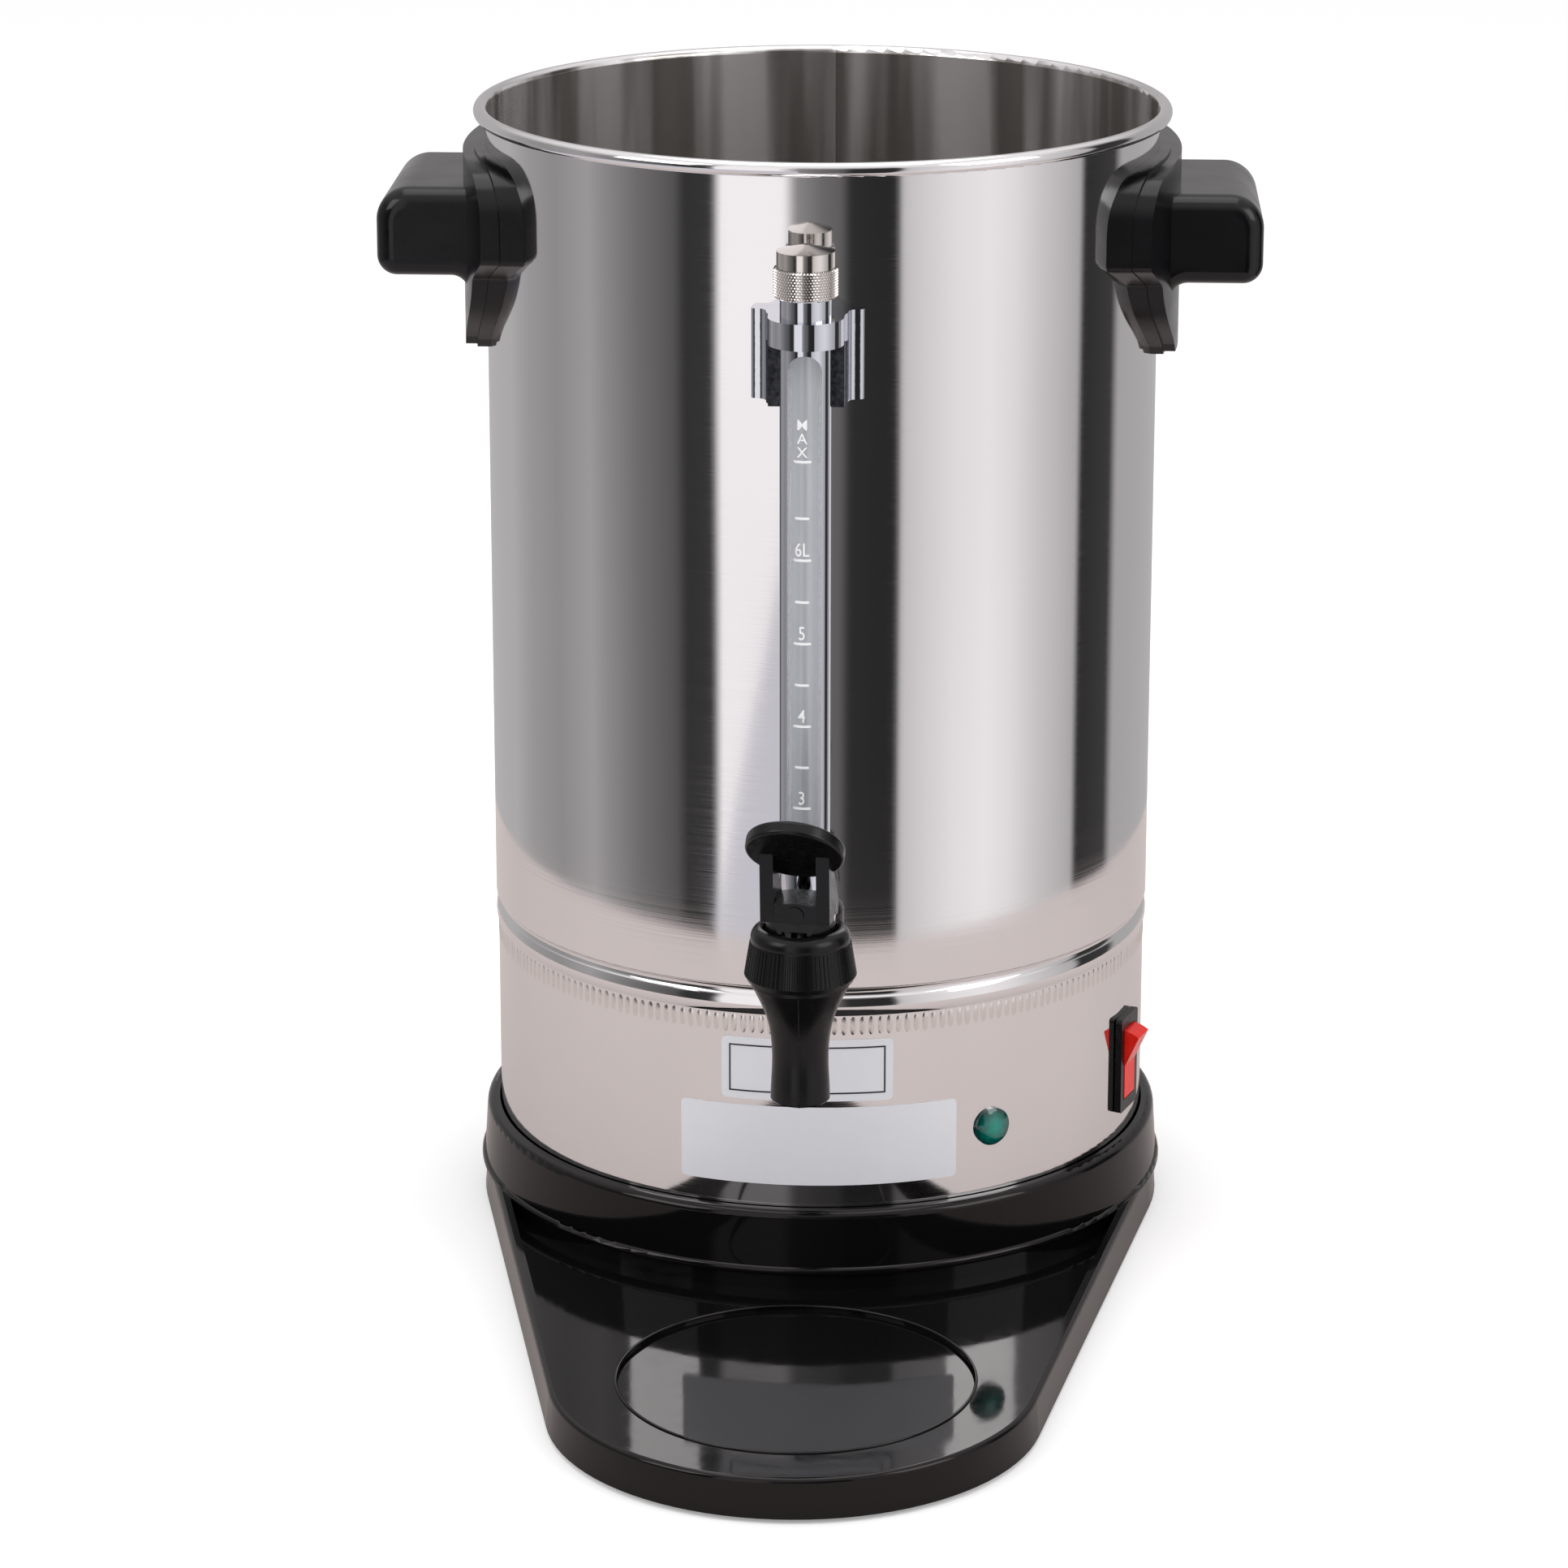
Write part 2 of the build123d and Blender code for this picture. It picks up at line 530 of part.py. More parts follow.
def terminal_block():
    """Terminal block on the base cover, with its wire holes."""
    block = Pos(0, BLOCK_Y, COVER_TOP_Z) * Box(BLOCK_L, BLOCK_W, BLOCK_H, align=UPRIGHT)
    for step in (-1, 0, 1):
        x = step * BLOCK_PITCH
        block -= Pos(x, BLOCK_Y, COVER_TOP_Z + BLOCK_HOLE_UP) * Rot(90, 0, 0) * Cylinder(BLOCK_HOLE_R, 2 * BLOCK_W)
        block -= upright(BLOCK_SCREW_R, COVER_TOP_Z + BLOCK_H - BLOCK_SCREW_DEPTH, COVER_TOP_Z + BLOCK_H + 1, x, BLOCK_Y)
    return block


# ---- tap ------------------------------------------------------------------------------
def tap_shank():
    """Threaded tube through the body wall, with a port up to the gauge."""
    front = TEE_FRONT_Y + SHANK_ENGAGE
    back = BODY_IN - SHANK_INNER_L
    shank = lengthwise(SHANK_R, back, front, TAP_Z) - lengthwise(SHANK_BORE_R, back - 1, front + 1, TAP_Z)
    return shank - upright(NECK_BORE_R, TAP_Z, TAP_Z + SHANK_R + 1, y=-GAUGE_Y)


def shank_seal_outer():
    """Rubber washer shaped to the outside of the body."""
    seal = lengthwise(SEAL_R, BODY_R - 2, BODY_R + SEAL_T, TAP_Z)
    seal -= lengthwise(SHANK_R + TURN_GAP, BODY_R - 3, BODY_R + SEAL_T + 1, TAP_Z)
    return seal - upright(BODY_R, TAP_Z - 2 * SEAL_R, TAP_Z + 2 * SEAL_R)


def shank_seal_inner():
    """Rubber washer shaped to the inside of the body."""
    seal = lengthwise(SEAL_R, BODY_IN - SEAL_T, BODY_IN + 1, TAP_Z)
    seal -= lengthwise(SHANK_R + TURN_GAP, BODY_IN - SEAL_T - 1, BODY_IN + 2, TAP_Z)
    return seal & upright(BODY_IN, TAP_Z - 2 * SEAL_R, TAP_Z + 2 * SEAL_R)


def shank_nut():
    """Hexagon nut inside the pot."""
    front = BODY_IN - SEAL_T
    nut = extrude(RegularPolygon(NUT_FLATS / 2, 6, major_radius=False), NUT_T)
    nut = Pos(0, -front, TAP_Z) * Rot(-90, 0, 0) * nut
    return nut - lengthwise(SHANK_R, front - NUT_T - 1, front + 1, TAP_Z)


def nozzle_outline():
    """Outside of the tap body: a waisted spout that flares up to the bonnet."""
    waist = (NOZZLE_WAIST_R, TAP_Z - NOZZLE_WAIST_DROP)
    low = (OUTLET_R, OUTLET_Z + OUTLET_BEVEL)
    neck = (NOZZLE_NECK_R, TAP_Z)
    high = (BARREL_R, BONNET_Z - BARREL_EDGE)
    outline = Polyline((0, OUTLET_Z), (OUTLET_R - OUTLET_BEVEL, OUTLET_Z), low)
    outline += Spline(low, waist, neck, high, tangents=[(-0.02, 1), (0.5, 1)])
    outline += Polyline(high, (BARREL_R, BONNET_Z), (THREAD_R, BONNET_Z), (THREAD_R, BONNET_ROOF_Z - THREAD_TOP_GAP),
                        (0, BONNET_ROOF_Z - THREAD_TOP_GAP), (0, OUTLET_Z))
    return outline


def tap_body():
    """Tap body and spout in one moulding, with the inlet boss and the valve seat."""
    body = turned(nozzle_outline())
    seat_r = OUTLET_BORE_R + SEAT_RING
    inside = Polyline((0, OUTLET_Z - 1), (OUTLET_BORE_R, OUTLET_Z - 1), (OUTLET_BORE_R, SEAT_Z),
                      (seat_r, SEAT_Z), (seat_r, SEAT_Z - SEAT_LIP),
                      (CHAMBER_R, SEAT_Z - SEAT_LIP), (CHAMBER_R, BONNET_ROOF_Z), (0, BONNET_ROOF_Z),
                      (0, OUTLET_Z - 1))
    body = Pos(0, -TAP_Y, 0) * body + lengthwise(BOSS_R, TEE_FRONT_Y, TAP_Y, TAP_Z)
    body -= Pos(0, -TAP_Y, 0) * turned(inside)
    body -= lengthwise(SHANK_R + TURN_GAP, TEE_FRONT_Y - 1, TEE_FRONT_Y + SHANK_ENGAGE, TAP_Z)
    return body - lengthwise(SHANK_BORE_R, TEE_FRONT_Y, TAP_Y, TAP_Z)


def tap_bonnet():
    """Screwed collar that holds the stem, with a round rim about the lever."""
    bore = THREAD_R + RUN_GAP
    shoulder = BONNET_RIM_Z - BONNET_CROWN
    mouth = PAD_R + PAD_LIP
    crown = ((BONNET_TOP_R + mouth) / 2 + PAD_LIP, BONNET_RIM_Z - BONNET_CROWN * 0.3)
    outline = Polyline((bore, BONNET_Z), (BONNET_R - PAD_LIP, BONNET_Z), (BONNET_R, BONNET_Z + BONNET_EDGE),
                       (BONNET_TOP_R, shoulder))
    outline += ThreePointArc((BONNET_TOP_R, shoulder), crown, (mouth, BONNET_RIM_Z))
    outline += Polyline((mouth, BONNET_RIM_Z), (PAD_R, BONNET_RIM_Z - PAD_LIP), (PAD_R, PAD_Z),
                        (STEM_R + RUN_GAP, PAD_Z), (STEM_R + RUN_GAP, BONNET_ROOF_Z), (bore, BONNET_ROOF_Z),
                        (bore, BONNET_Z))
    return Pos(0, -TAP_Y, 0) * turned(outline)


def tap_stem():
    """Valve stem with a head that the lever's pin passes through."""
    low = SEAT_Z + CUP_SEAL_H - CUP_POCKET
    neck = PAD_Z + STEM_NECK_H
    stem = upright(STEM_R, low, neck) + upright(STEM_HEAD_R, neck, PIN_Z + STEM_HEAD_H)
    stem -= Pos(0, 0, PIN_Z) * Rot(0, 90, 0) * Cylinder(PIN_R, 4 * STEM_HEAD_R)
    return Pos(0, -TAP_Y, 0) * Rot(0, 0, -LEVER_TURN) * stem


def seat_cup():
    """Rubber cup on the foot of the stem that closes the seat."""
    top = SEAT_Z + CUP_SEAL_H
    low = top - CUP_POCKET
    outline = Polyline((0, SEAT_Z), (CUP_SEAL_R, SEAT_Z), (CUP_SEAL_R + CUP_LIP, SEAT_Z + 3 * CUP_LIP),
                       (CUP_SEAL_R - 2 * CUP_LIP, low), (SPRING_R + 3 * SPRING_WIRE, top), (STEM_R, top),
                       (STEM_R, low), (0, low), (0, SEAT_Z))
    return Pos(0, -TAP_Y, 0) * turned(outline)


def tap_spring():
    """Coil spring between the rubber cup and the bonnet's roof."""
    low = SEAT_Z + CUP_SEAL_H + SPRING_WIRE
    high = BONNET_ROOF_Z - SPRING_WIRE
    path = Helix((high - low) / SPRING_TURNS, high - low, SPRING_R)
    section = Plane(origin=path @ 0, z_dir=path % 0) * Circle(SPRING_WIRE)
    return Pos(0, -TAP_Y, low) * sweep(section, path)


def cam_point(angle):
    """Point of the cam that meets the pad when the lever has turned by angle.

    The pin stands CAM_REST above the pad and rises evenly as the lever turns, so the cam
    is an involute: its support distance grows in proportion to the angle."""
    rate = CAM_LIFT / radians(LEVER_TRAVEL)
    turn = radians(angle)
    support = CAM_REST + rate * turn
    return (-support * sin(turn) - rate * cos(turn), -support * cos(turn) + rate * sin(turn))


def lever_hub():
    """Hub of the lever: the cam below, an arched top, a flat front and a slot for the stem."""
    end = LEVER_TRAVEL + CAM_MARGIN
    nose = cam_point(end)
    steps = [cam_point(LEVER_TRAVEL * step / 4) for step in range(4)] + [nose]
    outline = Spline(*steps, tangents=[(-1, 0), (-cos(radians(end)), sin(radians(end)))])
    outline += Polyline(nose, (nose[0], nose[1] + HUB_BEVEL), (-HUB_FRONT, 0), (-HUB_FRONT, HUB_TOP),
                        (HUB_BACK - HUB_BEVEL, HUB_TOP), (HUB_BACK, HUB_TOP - HUB_BEVEL),
                        (HUB_BACK, -CAM_REST + HUB_BEVEL), (HUB_BACK - HUB_BEVEL, -CAM_REST), cam_point(0))
    hub = extrude(Plane.YZ * make_face(outline), HUB_R, both=True)
    hub &= upright(HUB_R, -2 * HUB_R, 2 * HUB_R)
    hub &= Pos(0, 0, HUB_TOP - HUB_ARCH_R) * Rot(90, 0, 0) * Cylinder(HUB_ARCH_R, 4 * HUB_R)
    hub += Pos(0, -HUB_FRONT, BOSS_DISC_UP) * Rot(90, 0, 0) * Cylinder(BOSS_DISC_R, 2 * BOSS_DISC_T)
    slot = Box(HUB_SLOT, 2 * HUB_BACK + FRONT_WALL_Y, 4 * HUB_TOP, align=(MID, MIN, MAX))
    hub -= Pos(0, -FRONT_WALL_Y, SLOT_ROOF) * slot
    return hub - Pos(0, 0, -NOTCH_TOP) * Box(HUB_SLOT, 4 * HUB_R, 4 * HUB_TOP, align=(MID, MID, MAX))


def tap_lever():
    """Lever with a cam hub, two cheeks and a round paddle."""
    tilt = radians(PADDLE_TILT)
    along = (-cos(tilt), sin(tilt))
    up = (sin(tilt), cos(tilt))
    reach = sqrt(PADDLE_R**2 - CHEEK_X**2) - PADDLE_ROUND / 2
    face = (-PADDLE_OUT, PADDLE_UP)
    back = (face[0] - reach * along[0] + up[0], face[1] - reach * along[1] + up[1])
    front = (face[0] + along[0] + up[0], face[1] + along[1] + up[1])
    cheek = Polyline((-HUB_FRONT, 0), front, back, (HUB_BACK - HUB_BEVEL, HUB_TOP / 2), (HUB_BACK - 2 * HUB_BEVEL, 0),
                     close=True)
    plates = extrude(Plane.YZ * make_face(cheek), CHEEK_X, both=True)
    gap = Box(2 * (CHEEK_X - CHEEK_T), 8 * HUB_R, 2 * PADDLE_UP, align=UPRIGHT)
    lever = lever_hub() + (plates - gap)
    paddle = Cylinder(PADDLE_R, PADDLE_T, align=UPRIGHT)
    paddle = fillet(paddle.edges().filter_by(GeomType.CIRCLE), PADDLE_ROUND)
    paddle += upright(PADDLE_DISC_R, -PADDLE_ROUND / 2, PADDLE_ROUND)
    lever += Pos(0, face[0], face[1]) * Rot(-PADDLE_TILT, 0, 0) * paddle
    lever -= Rot(0, 90, 0) * Cylinder(PIN_R + RUN_GAP, 4 * HUB_R)
    return Pos(0, -TAP_Y, PIN_Z) * Rot(0, 0, -LEVER_TURN) * lever


def lever_pin():
    """Cross pin that carries the lever on the stem."""
    pin = Rot(0, 90, 0) * Cylinder(PIN_R, 2 * (CHEEK_X - TURN_GAP))
    return Pos(0, -TAP_Y, PIN_Z) * Rot(0, 0, -LEVER_TURN) * pin


# ---- gauge ----------------------------------------------------------------------------
def gauge_tee():
    """Plated socket on the shank with a neck and an open cup for the glass."""
    tee = lengthwise(BOSS_R, BODY_R + SEAL_T, TEE_FRONT_Y, TAP_Z)
    inner = SOCKET_R - SOCKET_WALL
    flare = SOCKET_FLOOR_Z - NECK_FLARE
    bend = (SOCKET_R - NECK_R) * 0.75
    neck = Polyline((0, TAP_Z), (NECK_R, TAP_Z), (NECK_R, flare))
    neck += ThreePointArc((NECK_R, flare), (NECK_R + bend, flare + NECK_FLARE * 0.45), (SOCKET_R, SOCKET_FLOOR_Z))
    neck += Polyline((SOCKET_R, SOCKET_FLOOR_Z), (SOCKET_R, SOCKET_TOP_Z), (inner, SOCKET_TOP_Z),
                     (inner, SOCKET_FLOOR_Z), (0, SOCKET_FLOOR_Z), (0, TAP_Z))
    tee += Pos(0, -GAUGE_Y, 0) * turned(neck)
    tee -= lengthwise(SHANK_R + TURN_GAP, BODY_R, TEE_FRONT_Y + 1, TAP_Z)
    return tee - upright(NECK_BORE_R, TAP_Z, SOCKET_FLOOR_Z + 1, y=-GAUGE_Y)


def gauge_collet():
    """Round nut with a domed top that clamps the socket's neck on the tee."""
    bore = NECK_R + TURN_GAP
    top = SOCKET_FLOOR_Z - NECK_FLARE / 2
    low = top - COLLET_H
    seat = SOCKET_FLOOR_Z - NECK_FLARE
    mouth = SOCKET_R + TURN_GAP
    outline = Polyline((bore, low), (COLLET_R - CAP_BEVEL, low), (COLLET_R, low + CAP_BEVEL), (COLLET_R, top - COLLET_ROUND))
    outline += ThreePointArc((COLLET_R, top - COLLET_ROUND), (COLLET_R * 0.88, top - COLLET_ROUND * 0.35), (mouth + CAP_BEVEL, top))
    outline += Polyline((mouth + CAP_BEVEL, top), (mouth, top), (mouth, seat), (bore, seat), (bore, low))
    return Pos(0, -GAUGE_Y, 0) * turned(outline)


def ring(outer, inner, low, high):
    """Upright ring on the gauge axis."""
    return Pos(0, -GAUGE_Y, 0) * (upright(outer, low, high) - upright(inner, low - 1, high + 1))


def gauge_guard():
    """Plated tube round the glass with a long front slot."""
    guard = ring(GUARD_R, GUARD_R - GUARD_WALL, GUARD_BOTTOM_Z, GUARD_TOP_Z)
    half = SLOT_W / 2
    low = SLOT_BOTTOM_Z + half
    high = SLOT_TOP_Z - half
    slot = Pos(0, -GAUGE_Y, (low + high) / 2) * Box(SLOT_W, 3 * GUARD_R, high - low, align=(MID, MAX, MID))
    slot += lengthwise(half, GAUGE_Y, GAUGE_Y + 2 * GUARD_R, low)
    slot += lengthwise(half, GAUGE_Y, GAUGE_Y + 2 * GUARD_R, high)
    return guard - slot


def gauge_bracket():
    """Die-cast saddle: two wings on the body and a band round the guard."""
    wing_y = -sqrt(BODY_R**2 - WING_X**2) - WING_T
    root = -BODY_R + 8
    side = Line((WING_X, root), (WING_X, wing_y))
    side += Spline((WING_X, wing_y), (WING_X - WING_T, wing_y - WING_BULGE), (BAND_R + 0.8, wing_y - WING_VALLEY),
                   (BAND_R, -BAND_Y), tangents=[(-0.2, -1), (0, -1)])
    band = ThreePointArc((BAND_R, -BAND_Y), (0, -BAND_Y - BAND_R), (-BAND_R, -BAND_Y))
    closing = Line((-WING_X, root), (WING_X, root))
    outline = side + band + mirror(side, Plane.YZ) + closing
    low = BRACKET_TOP_Z - BRACKET_H
    bracket = slab(make_face(outline), low, BRACKET_TOP_Z)
    bracket -= upright(BODY_R, low - 1, BRACKET_TOP_Z + 1)
    bracket -= upright(GUARD_R, low - 1, BRACKET_TOP_Z + 1, y=-GAUGE_Y)
    front_cut = Pos(0, -BAND_Y + 1, low - 1) * Box(4 * BAND_R, 3 * BAND_R, BRACKET_H - BAND_H + 1, align=(MID, MAX, MIN))
    return bracket - front_cut


def gauge_cap():
    """Knurled cap screwed on the guard, with a low cone and a vent hole."""
    bore = GUARD_R + RUN_GAP
    roof = GUARD_TOP_Z + WASHER_T + WASHER_PLAY
    knurl_top = CAP_BOTTOM_Z + CAP_KNURL_H
    side_top = CAP_BOTTOM_Z + CAP_SIDE_H
    outline = Polyline((bore, CAP_BOTTOM_Z), (CAP_R - CAP_BEVEL, CAP_BOTTOM_Z), (CAP_R, CAP_BOTTOM_Z + CAP_BEVEL),
                       (CAP_R, knurl_top - CAP_BEVEL), (CAP_R - CAP_BEVEL, knurl_top), (CAP_PLAIN_R, knurl_top),
                       (CAP_PLAIN_R, side_top), (CAP_VENT_R, side_top + CAP_CONE_H), (CAP_VENT_R, roof), (bore, roof),
                       (bore, CAP_BOTTOM_Z))
    return Pos(0, -GAUGE_Y, 0) * turned(outline)


# ---- handles --------------------------------------------------------------------------
def plate_outline(inset):
    """Front view of a handle plate: a broad rounded head above a tapering tongue."""
    half = HEAD_HALF - inset
    top = HEAD_TOP_Z - inset
    low = TONGUE_Z + inset
    waist = WAIST_HALF - inset
    tip = TONGUE_HALF - inset
    side = Line((0, top), (half * 0.55, top))
    side += Spline((half * 0.55, top), (half * 0.9, top - HEAD_CORNER), (half, HEAD_Z), tangents=[(1, 0), (0, -1)])
    side += Polyline((half, HEAD_Z), (half, SHOULDER_Z), (waist, WAIST_Z))
    side += Spline((waist, WAIST_Z), (tip, low + PLATE_ROUND), tangents=[(-0.3, -1), (-1, -0.8)])
    side += Polyline((tip, low + PLATE_ROUND), (tip - PLATE_ROUND, low), (0, low))
    plate = make_face(side + mirror(side, Plane.YZ))
    corners = plate.vertices().filter_by_position(Axis.Y, SHOULDER_Z - 0.1, SHOULDER_Z + 0.1)
    waists = plate.vertices().filter_by_position(Axis.Y, WAIST_Z - 0.1, WAIST_Z + 0.1)
    return fillet(corners + waists, PLATE_ROUND)


def bow(radius, reach):
    """Upright cylinder that reaches a given distance along +X."""
    return upright(radius, TONGUE_Z - 9, HEAD_TOP_Z + 9, x=reach - radius)


def curved_plate(inset, inner, outer):
    """Plate between two bent faces at the +X side."""
    block = extrude(Plane.YZ.offset(BODY_R) * plate_outline(inset), BODY_R / 2, both=True)
    return (block & outer) - inner


def side_rod(radius, start, end, z):
    """Cylinder along +X."""
    return Pos((start + end) / 2, 0, z) * Rot(0, 90, 0) * Cylinder(radius, end - start)


def handle_pad():
    """Backing pad between the body and the handle."""
    pad = curved_plate(0, bow(BODY_R, BODY_R), bow(PAD_BOW_R, PAD_REACH))
    return pad - side_rod(STUD_R + TURN_GAP, BODY_R - 1, PAD_REACH + 1, STUD_Z)


def grip_block():
    """Solid grip with its rounds and the gusset under its root."""
    root = BODY_R - PAD_T
    foot_x = PAD_REACH
    profile = Polyline((foot_x + GUSSET, GRIP_BOTTOM_Z), (HANDLE_REACH, GRIP_BOTTOM_Z),
                       (HANDLE_REACH, GRIP_TOP_Z), (root, GRIP_TOP_Z), (root, GRIP_BOTTOM_Z - GUSSET),
                       (foot_x, GRIP_BOTTOM_Z - GUSSET))
    profile += RadiusArc((foot_x, GRIP_BOTTOM_Z - GUSSET), (foot_x + GUSSET, GRIP_BOTTOM_Z), GUSSET)
    face = make_face(profile)
    outer_corners = face.vertices().group_by(Axis.X)[-1].sort_by(Axis.Y)
    face = fillet(outer_corners[0], GRIP_LOW_ROUND)
    face = fillet(face.vertices().group_by(Axis.Y)[-1].sort_by(Axis.X)[-1], GRIP_TOP_ROUND)
    grip = extrude(Plane.XZ * face, GRIP_HALF_L, both=True)
    ends = grip.faces().group_by(Axis.Y)
    rims = ends[0].edges() + ends[-1].edges()
    rims = rims.filter_by_position(Axis.X, FLANGE_REACH + STUD_WALL, HANDLE_REACH + 1)
    return fillet(rims, GRIP_END_ROUND)


def handle():
    """Moulded grip on a flange, hollow from below for the fingers."""
    pad_face = bow(PAD_BOW_R, PAD_REACH)
    flange = curved_plate(FLANGE_INSET, pad_face, bow(FLANGE_BOW_R, FLANGE_REACH))
    part = flange + (grip_block() - pad_face)
    start = FLANGE_REACH + STUD_WALL
    end = HANDLE_REACH - GRIP_WALL
    hollow = Pos((start + end) / 2, 0, GRIP_BOTTOM_Z - GUSSET)
    hollow *= Box(end - start, 2 * (GRIP_HALF_L - GRIP_WALL), GRIP_TOP_Z - GRIP_WALL - GRIP_BOTTOM_Z + GUSSET,
                  align=UPRIGHT)
    part -= fillet(hollow.edges().filter_by(Axis.Y).group_by(Axis.Z)[-1], (end - start) / 5)
    return part - side_rod(STUD_R + TURN_GAP, PAD_REACH - 1, start + 1, STUD_Z)


def handle_stud():
    """Stud welded to the body that holds one handle."""
    end = FLANGE_REACH + STUD_WALL + STUD_NUT_T + STUD_END
    return side_rod(STUD_R, BODY_R - 1, end, STUD_Z) - bow(BODY_R, BODY_R)


def handle_nut():
    """Nut on the stud, inside the hollow of the grip."""
    start = FLANGE_REACH + STUD_WALL
    nut = extrude(RegularPolygon(STUD_NUT_FLATS / 2, 6, major_radius=False), STUD_NUT_T)
    nut = Pos(start, 0, STUD_Z) * Rot(0, 90, 0) * nut
    return nut - side_rod(STUD_R, start - 1, start + STUD_NUT_T + 1, STUD_Z)


# ---- switch and lamp ------------------------------------------------------------------
def rocker_outline():
    """Side view of the rocker about its pivot: a shallow V between two round ends."""
    slope = radians(ROCKER_THROW)
    rise = tan(slope)
    reach = (-ROCKER_FACE * rise + sqrt(ROCKER_R**2 * (1 + rise**2) - ROCKER_FACE**2)) / (1 + rise**2)
    corner = (reach, ROCKER_FACE + reach * rise)
    foot_z = sqrt(ROCKER_R**2 - 1)
    outline = Line((-corner[0], corner[1]), (0, ROCKER_FACE)) + Line((0, ROCKER_FACE), corner)
    outline += RadiusArc(corner, (foot_z, -1), ROCKER_R)
    outline += Polyline((foot_z, -1), (ROCKER_KEEL, -ROCKER_KEEL), (-ROCKER_KEEL, -ROCKER_KEEL), (-foot_z, -1))
    outline += RadiusArc((-foot_z, -1), (-corner[0], corner[1]), ROCKER_R)
    return make_face(outline)


def switch_rocker():
    """Rocker at one of its two positions, upper end proud."""
    rocker = extrude(rocker_outline(), ROCKER_W / 2, both=True)
    rocker = Rot(0, 0, ROCKER_THROW) * rocker
    rocker += Cylinder(ROCKER_AXLE_R, HOUSING_W - 2 * ROCKER_AXLE_WALL - TURN_GAP)
    frame = Plane(origin=(0, -PIVOT, SWITCH_Z), x_dir=(0, 0, 1), z_dir=(1, 0, 0))
    return at_side(SWITCH_AT, frame.location * rocker)


def switch_housing():
    """Switch body with a flat bezel, snapped into the skirt."""
    bezel = Pos(0, -SWITCH_FACE + BEZEL_T, SWITCH_Z) * Box(BEZEL_W, BEZEL_T, BEZEL_H, align=(MID, MAX, MID))
    bezel = fillet(bezel.edges().filter_by(Axis.Y), BEZEL_ROUND)
    body = Pos(0, -SWITCH_FACE + BEZEL_T, SWITCH_Z) * Box(HOUSING_W, HOUSING_DEPTH, HOUSING_H, align=(MID, MIN, MID))
    housing = bezel + body
    well_z = 2 * (ROCKER_R + ROCKER_GAP)
    well = Pos(0, -SWITCH_FACE - 1, SWITCH_Z) * Box(WINDOW_W, ROCKER_SINK + WELL_DEPTH + 1, well_z, align=(MID, MIN, MID))
    housing -= well
    housing -= Pos(0, -PIVOT, SWITCH_Z) * Rot(0, 90, 0) * Cylinder(ROCKER_AXLE_R + RUN_GAP, HOUSING_W - 2 * ROCKER_AXLE_WALL)
    for step in (-1, 0, 1):
        blade = Box(BLADE_W, BLADE_L, BLADE_T, align=(MID, MIN, MID))
        housing += Pos(0, -SWITCH_FACE + BEZEL_T + HOUSING_DEPTH, SWITCH_Z + step * BLADE_PITCH) * blade
    return at_side(SWITCH_AT, housing)


def on_skirt(angle, z, part):
    """Seat a turned piece on the skirt, its own +Z pointing outwards."""
    return at_side(angle, Pos(0, -SKIRT_R, z) * Rot(90, 0, 0) * part)


def pilot_lamp():
    """Green lamp: a domed lens on a barrel through the skirt."""
    outline = Polyline((0, -LAMP_BARREL_L), (LAMP_BARREL_R, -LAMP_BARREL_L), (LAMP_BARREL_R, 0), (LAMP_R, 0),
                       (LAMP_R, LAMP_EDGE))
    dome_r = (LAMP_R**2 + (LAMP_DOME - LAMP_EDGE)**2) / (2 * (LAMP_DOME - LAMP_EDGE))
    outline += RadiusArc((LAMP_R, LAMP_EDGE), (0, LAMP_DOME), -dome_r)
    outline += Line((0, LAMP_DOME), (0, -LAMP_BARREL_L))
    return on_skirt(LAMP_AT, LAMP_Z, turned(outline))


def lamp_nut():
    """Nut that holds the lamp from inside."""
    nut = upright(LAMP_NUT_R, -SHEET - LAMP_NUT_T, -SHEET * 0.5) - upright(LAMP_BARREL_R, -LAMP_BARREL_L, 1)
    seat = upright(SKIRT_IN, LAMP_Z - 2 * LAMP_NUT_R, LAMP_Z + 2 * LAMP_NUT_R)
    return on_skirt(LAMP_AT, LAMP_Z, nut) & seat


def cord_gland():
    """Bush that the cord passes through at the back of the skirt."""
    outline = Polyline((GLAND_BORE_R, -GLAND_IN), (GLAND_R, -GLAND_IN), (GLAND_R, 0), (GLAND_FLANGE_R, 0),
                       (GLAND_FLANGE_R, GLAND_FLANGE_T), (GLAND_R, GLAND_FLANGE_T + 1),
                       (GLAND_BORE_R + GLAND_LIP, GLAND_OUT), (GLAND_BORE_R, GLAND_OUT), close=True)
    return on_skirt(180, GLAND_Z, turned(outline))


def gland_nut():
    """Nut that holds the cord bush from inside."""
    nut = upright(GLAND_NUT_R, -SHEET - GLAND_NUT_T, -SHEET * 0.5) - upright(GLAND_R, -GLAND_IN - 1, 1)
    seat = upright(SKIRT_IN, GLAND_Z - 2 * GLAND_NUT_R, GLAND_Z + 2 * GLAND_NUT_R)
    return on_skirt(180, GLAND_Z, nut) & seat


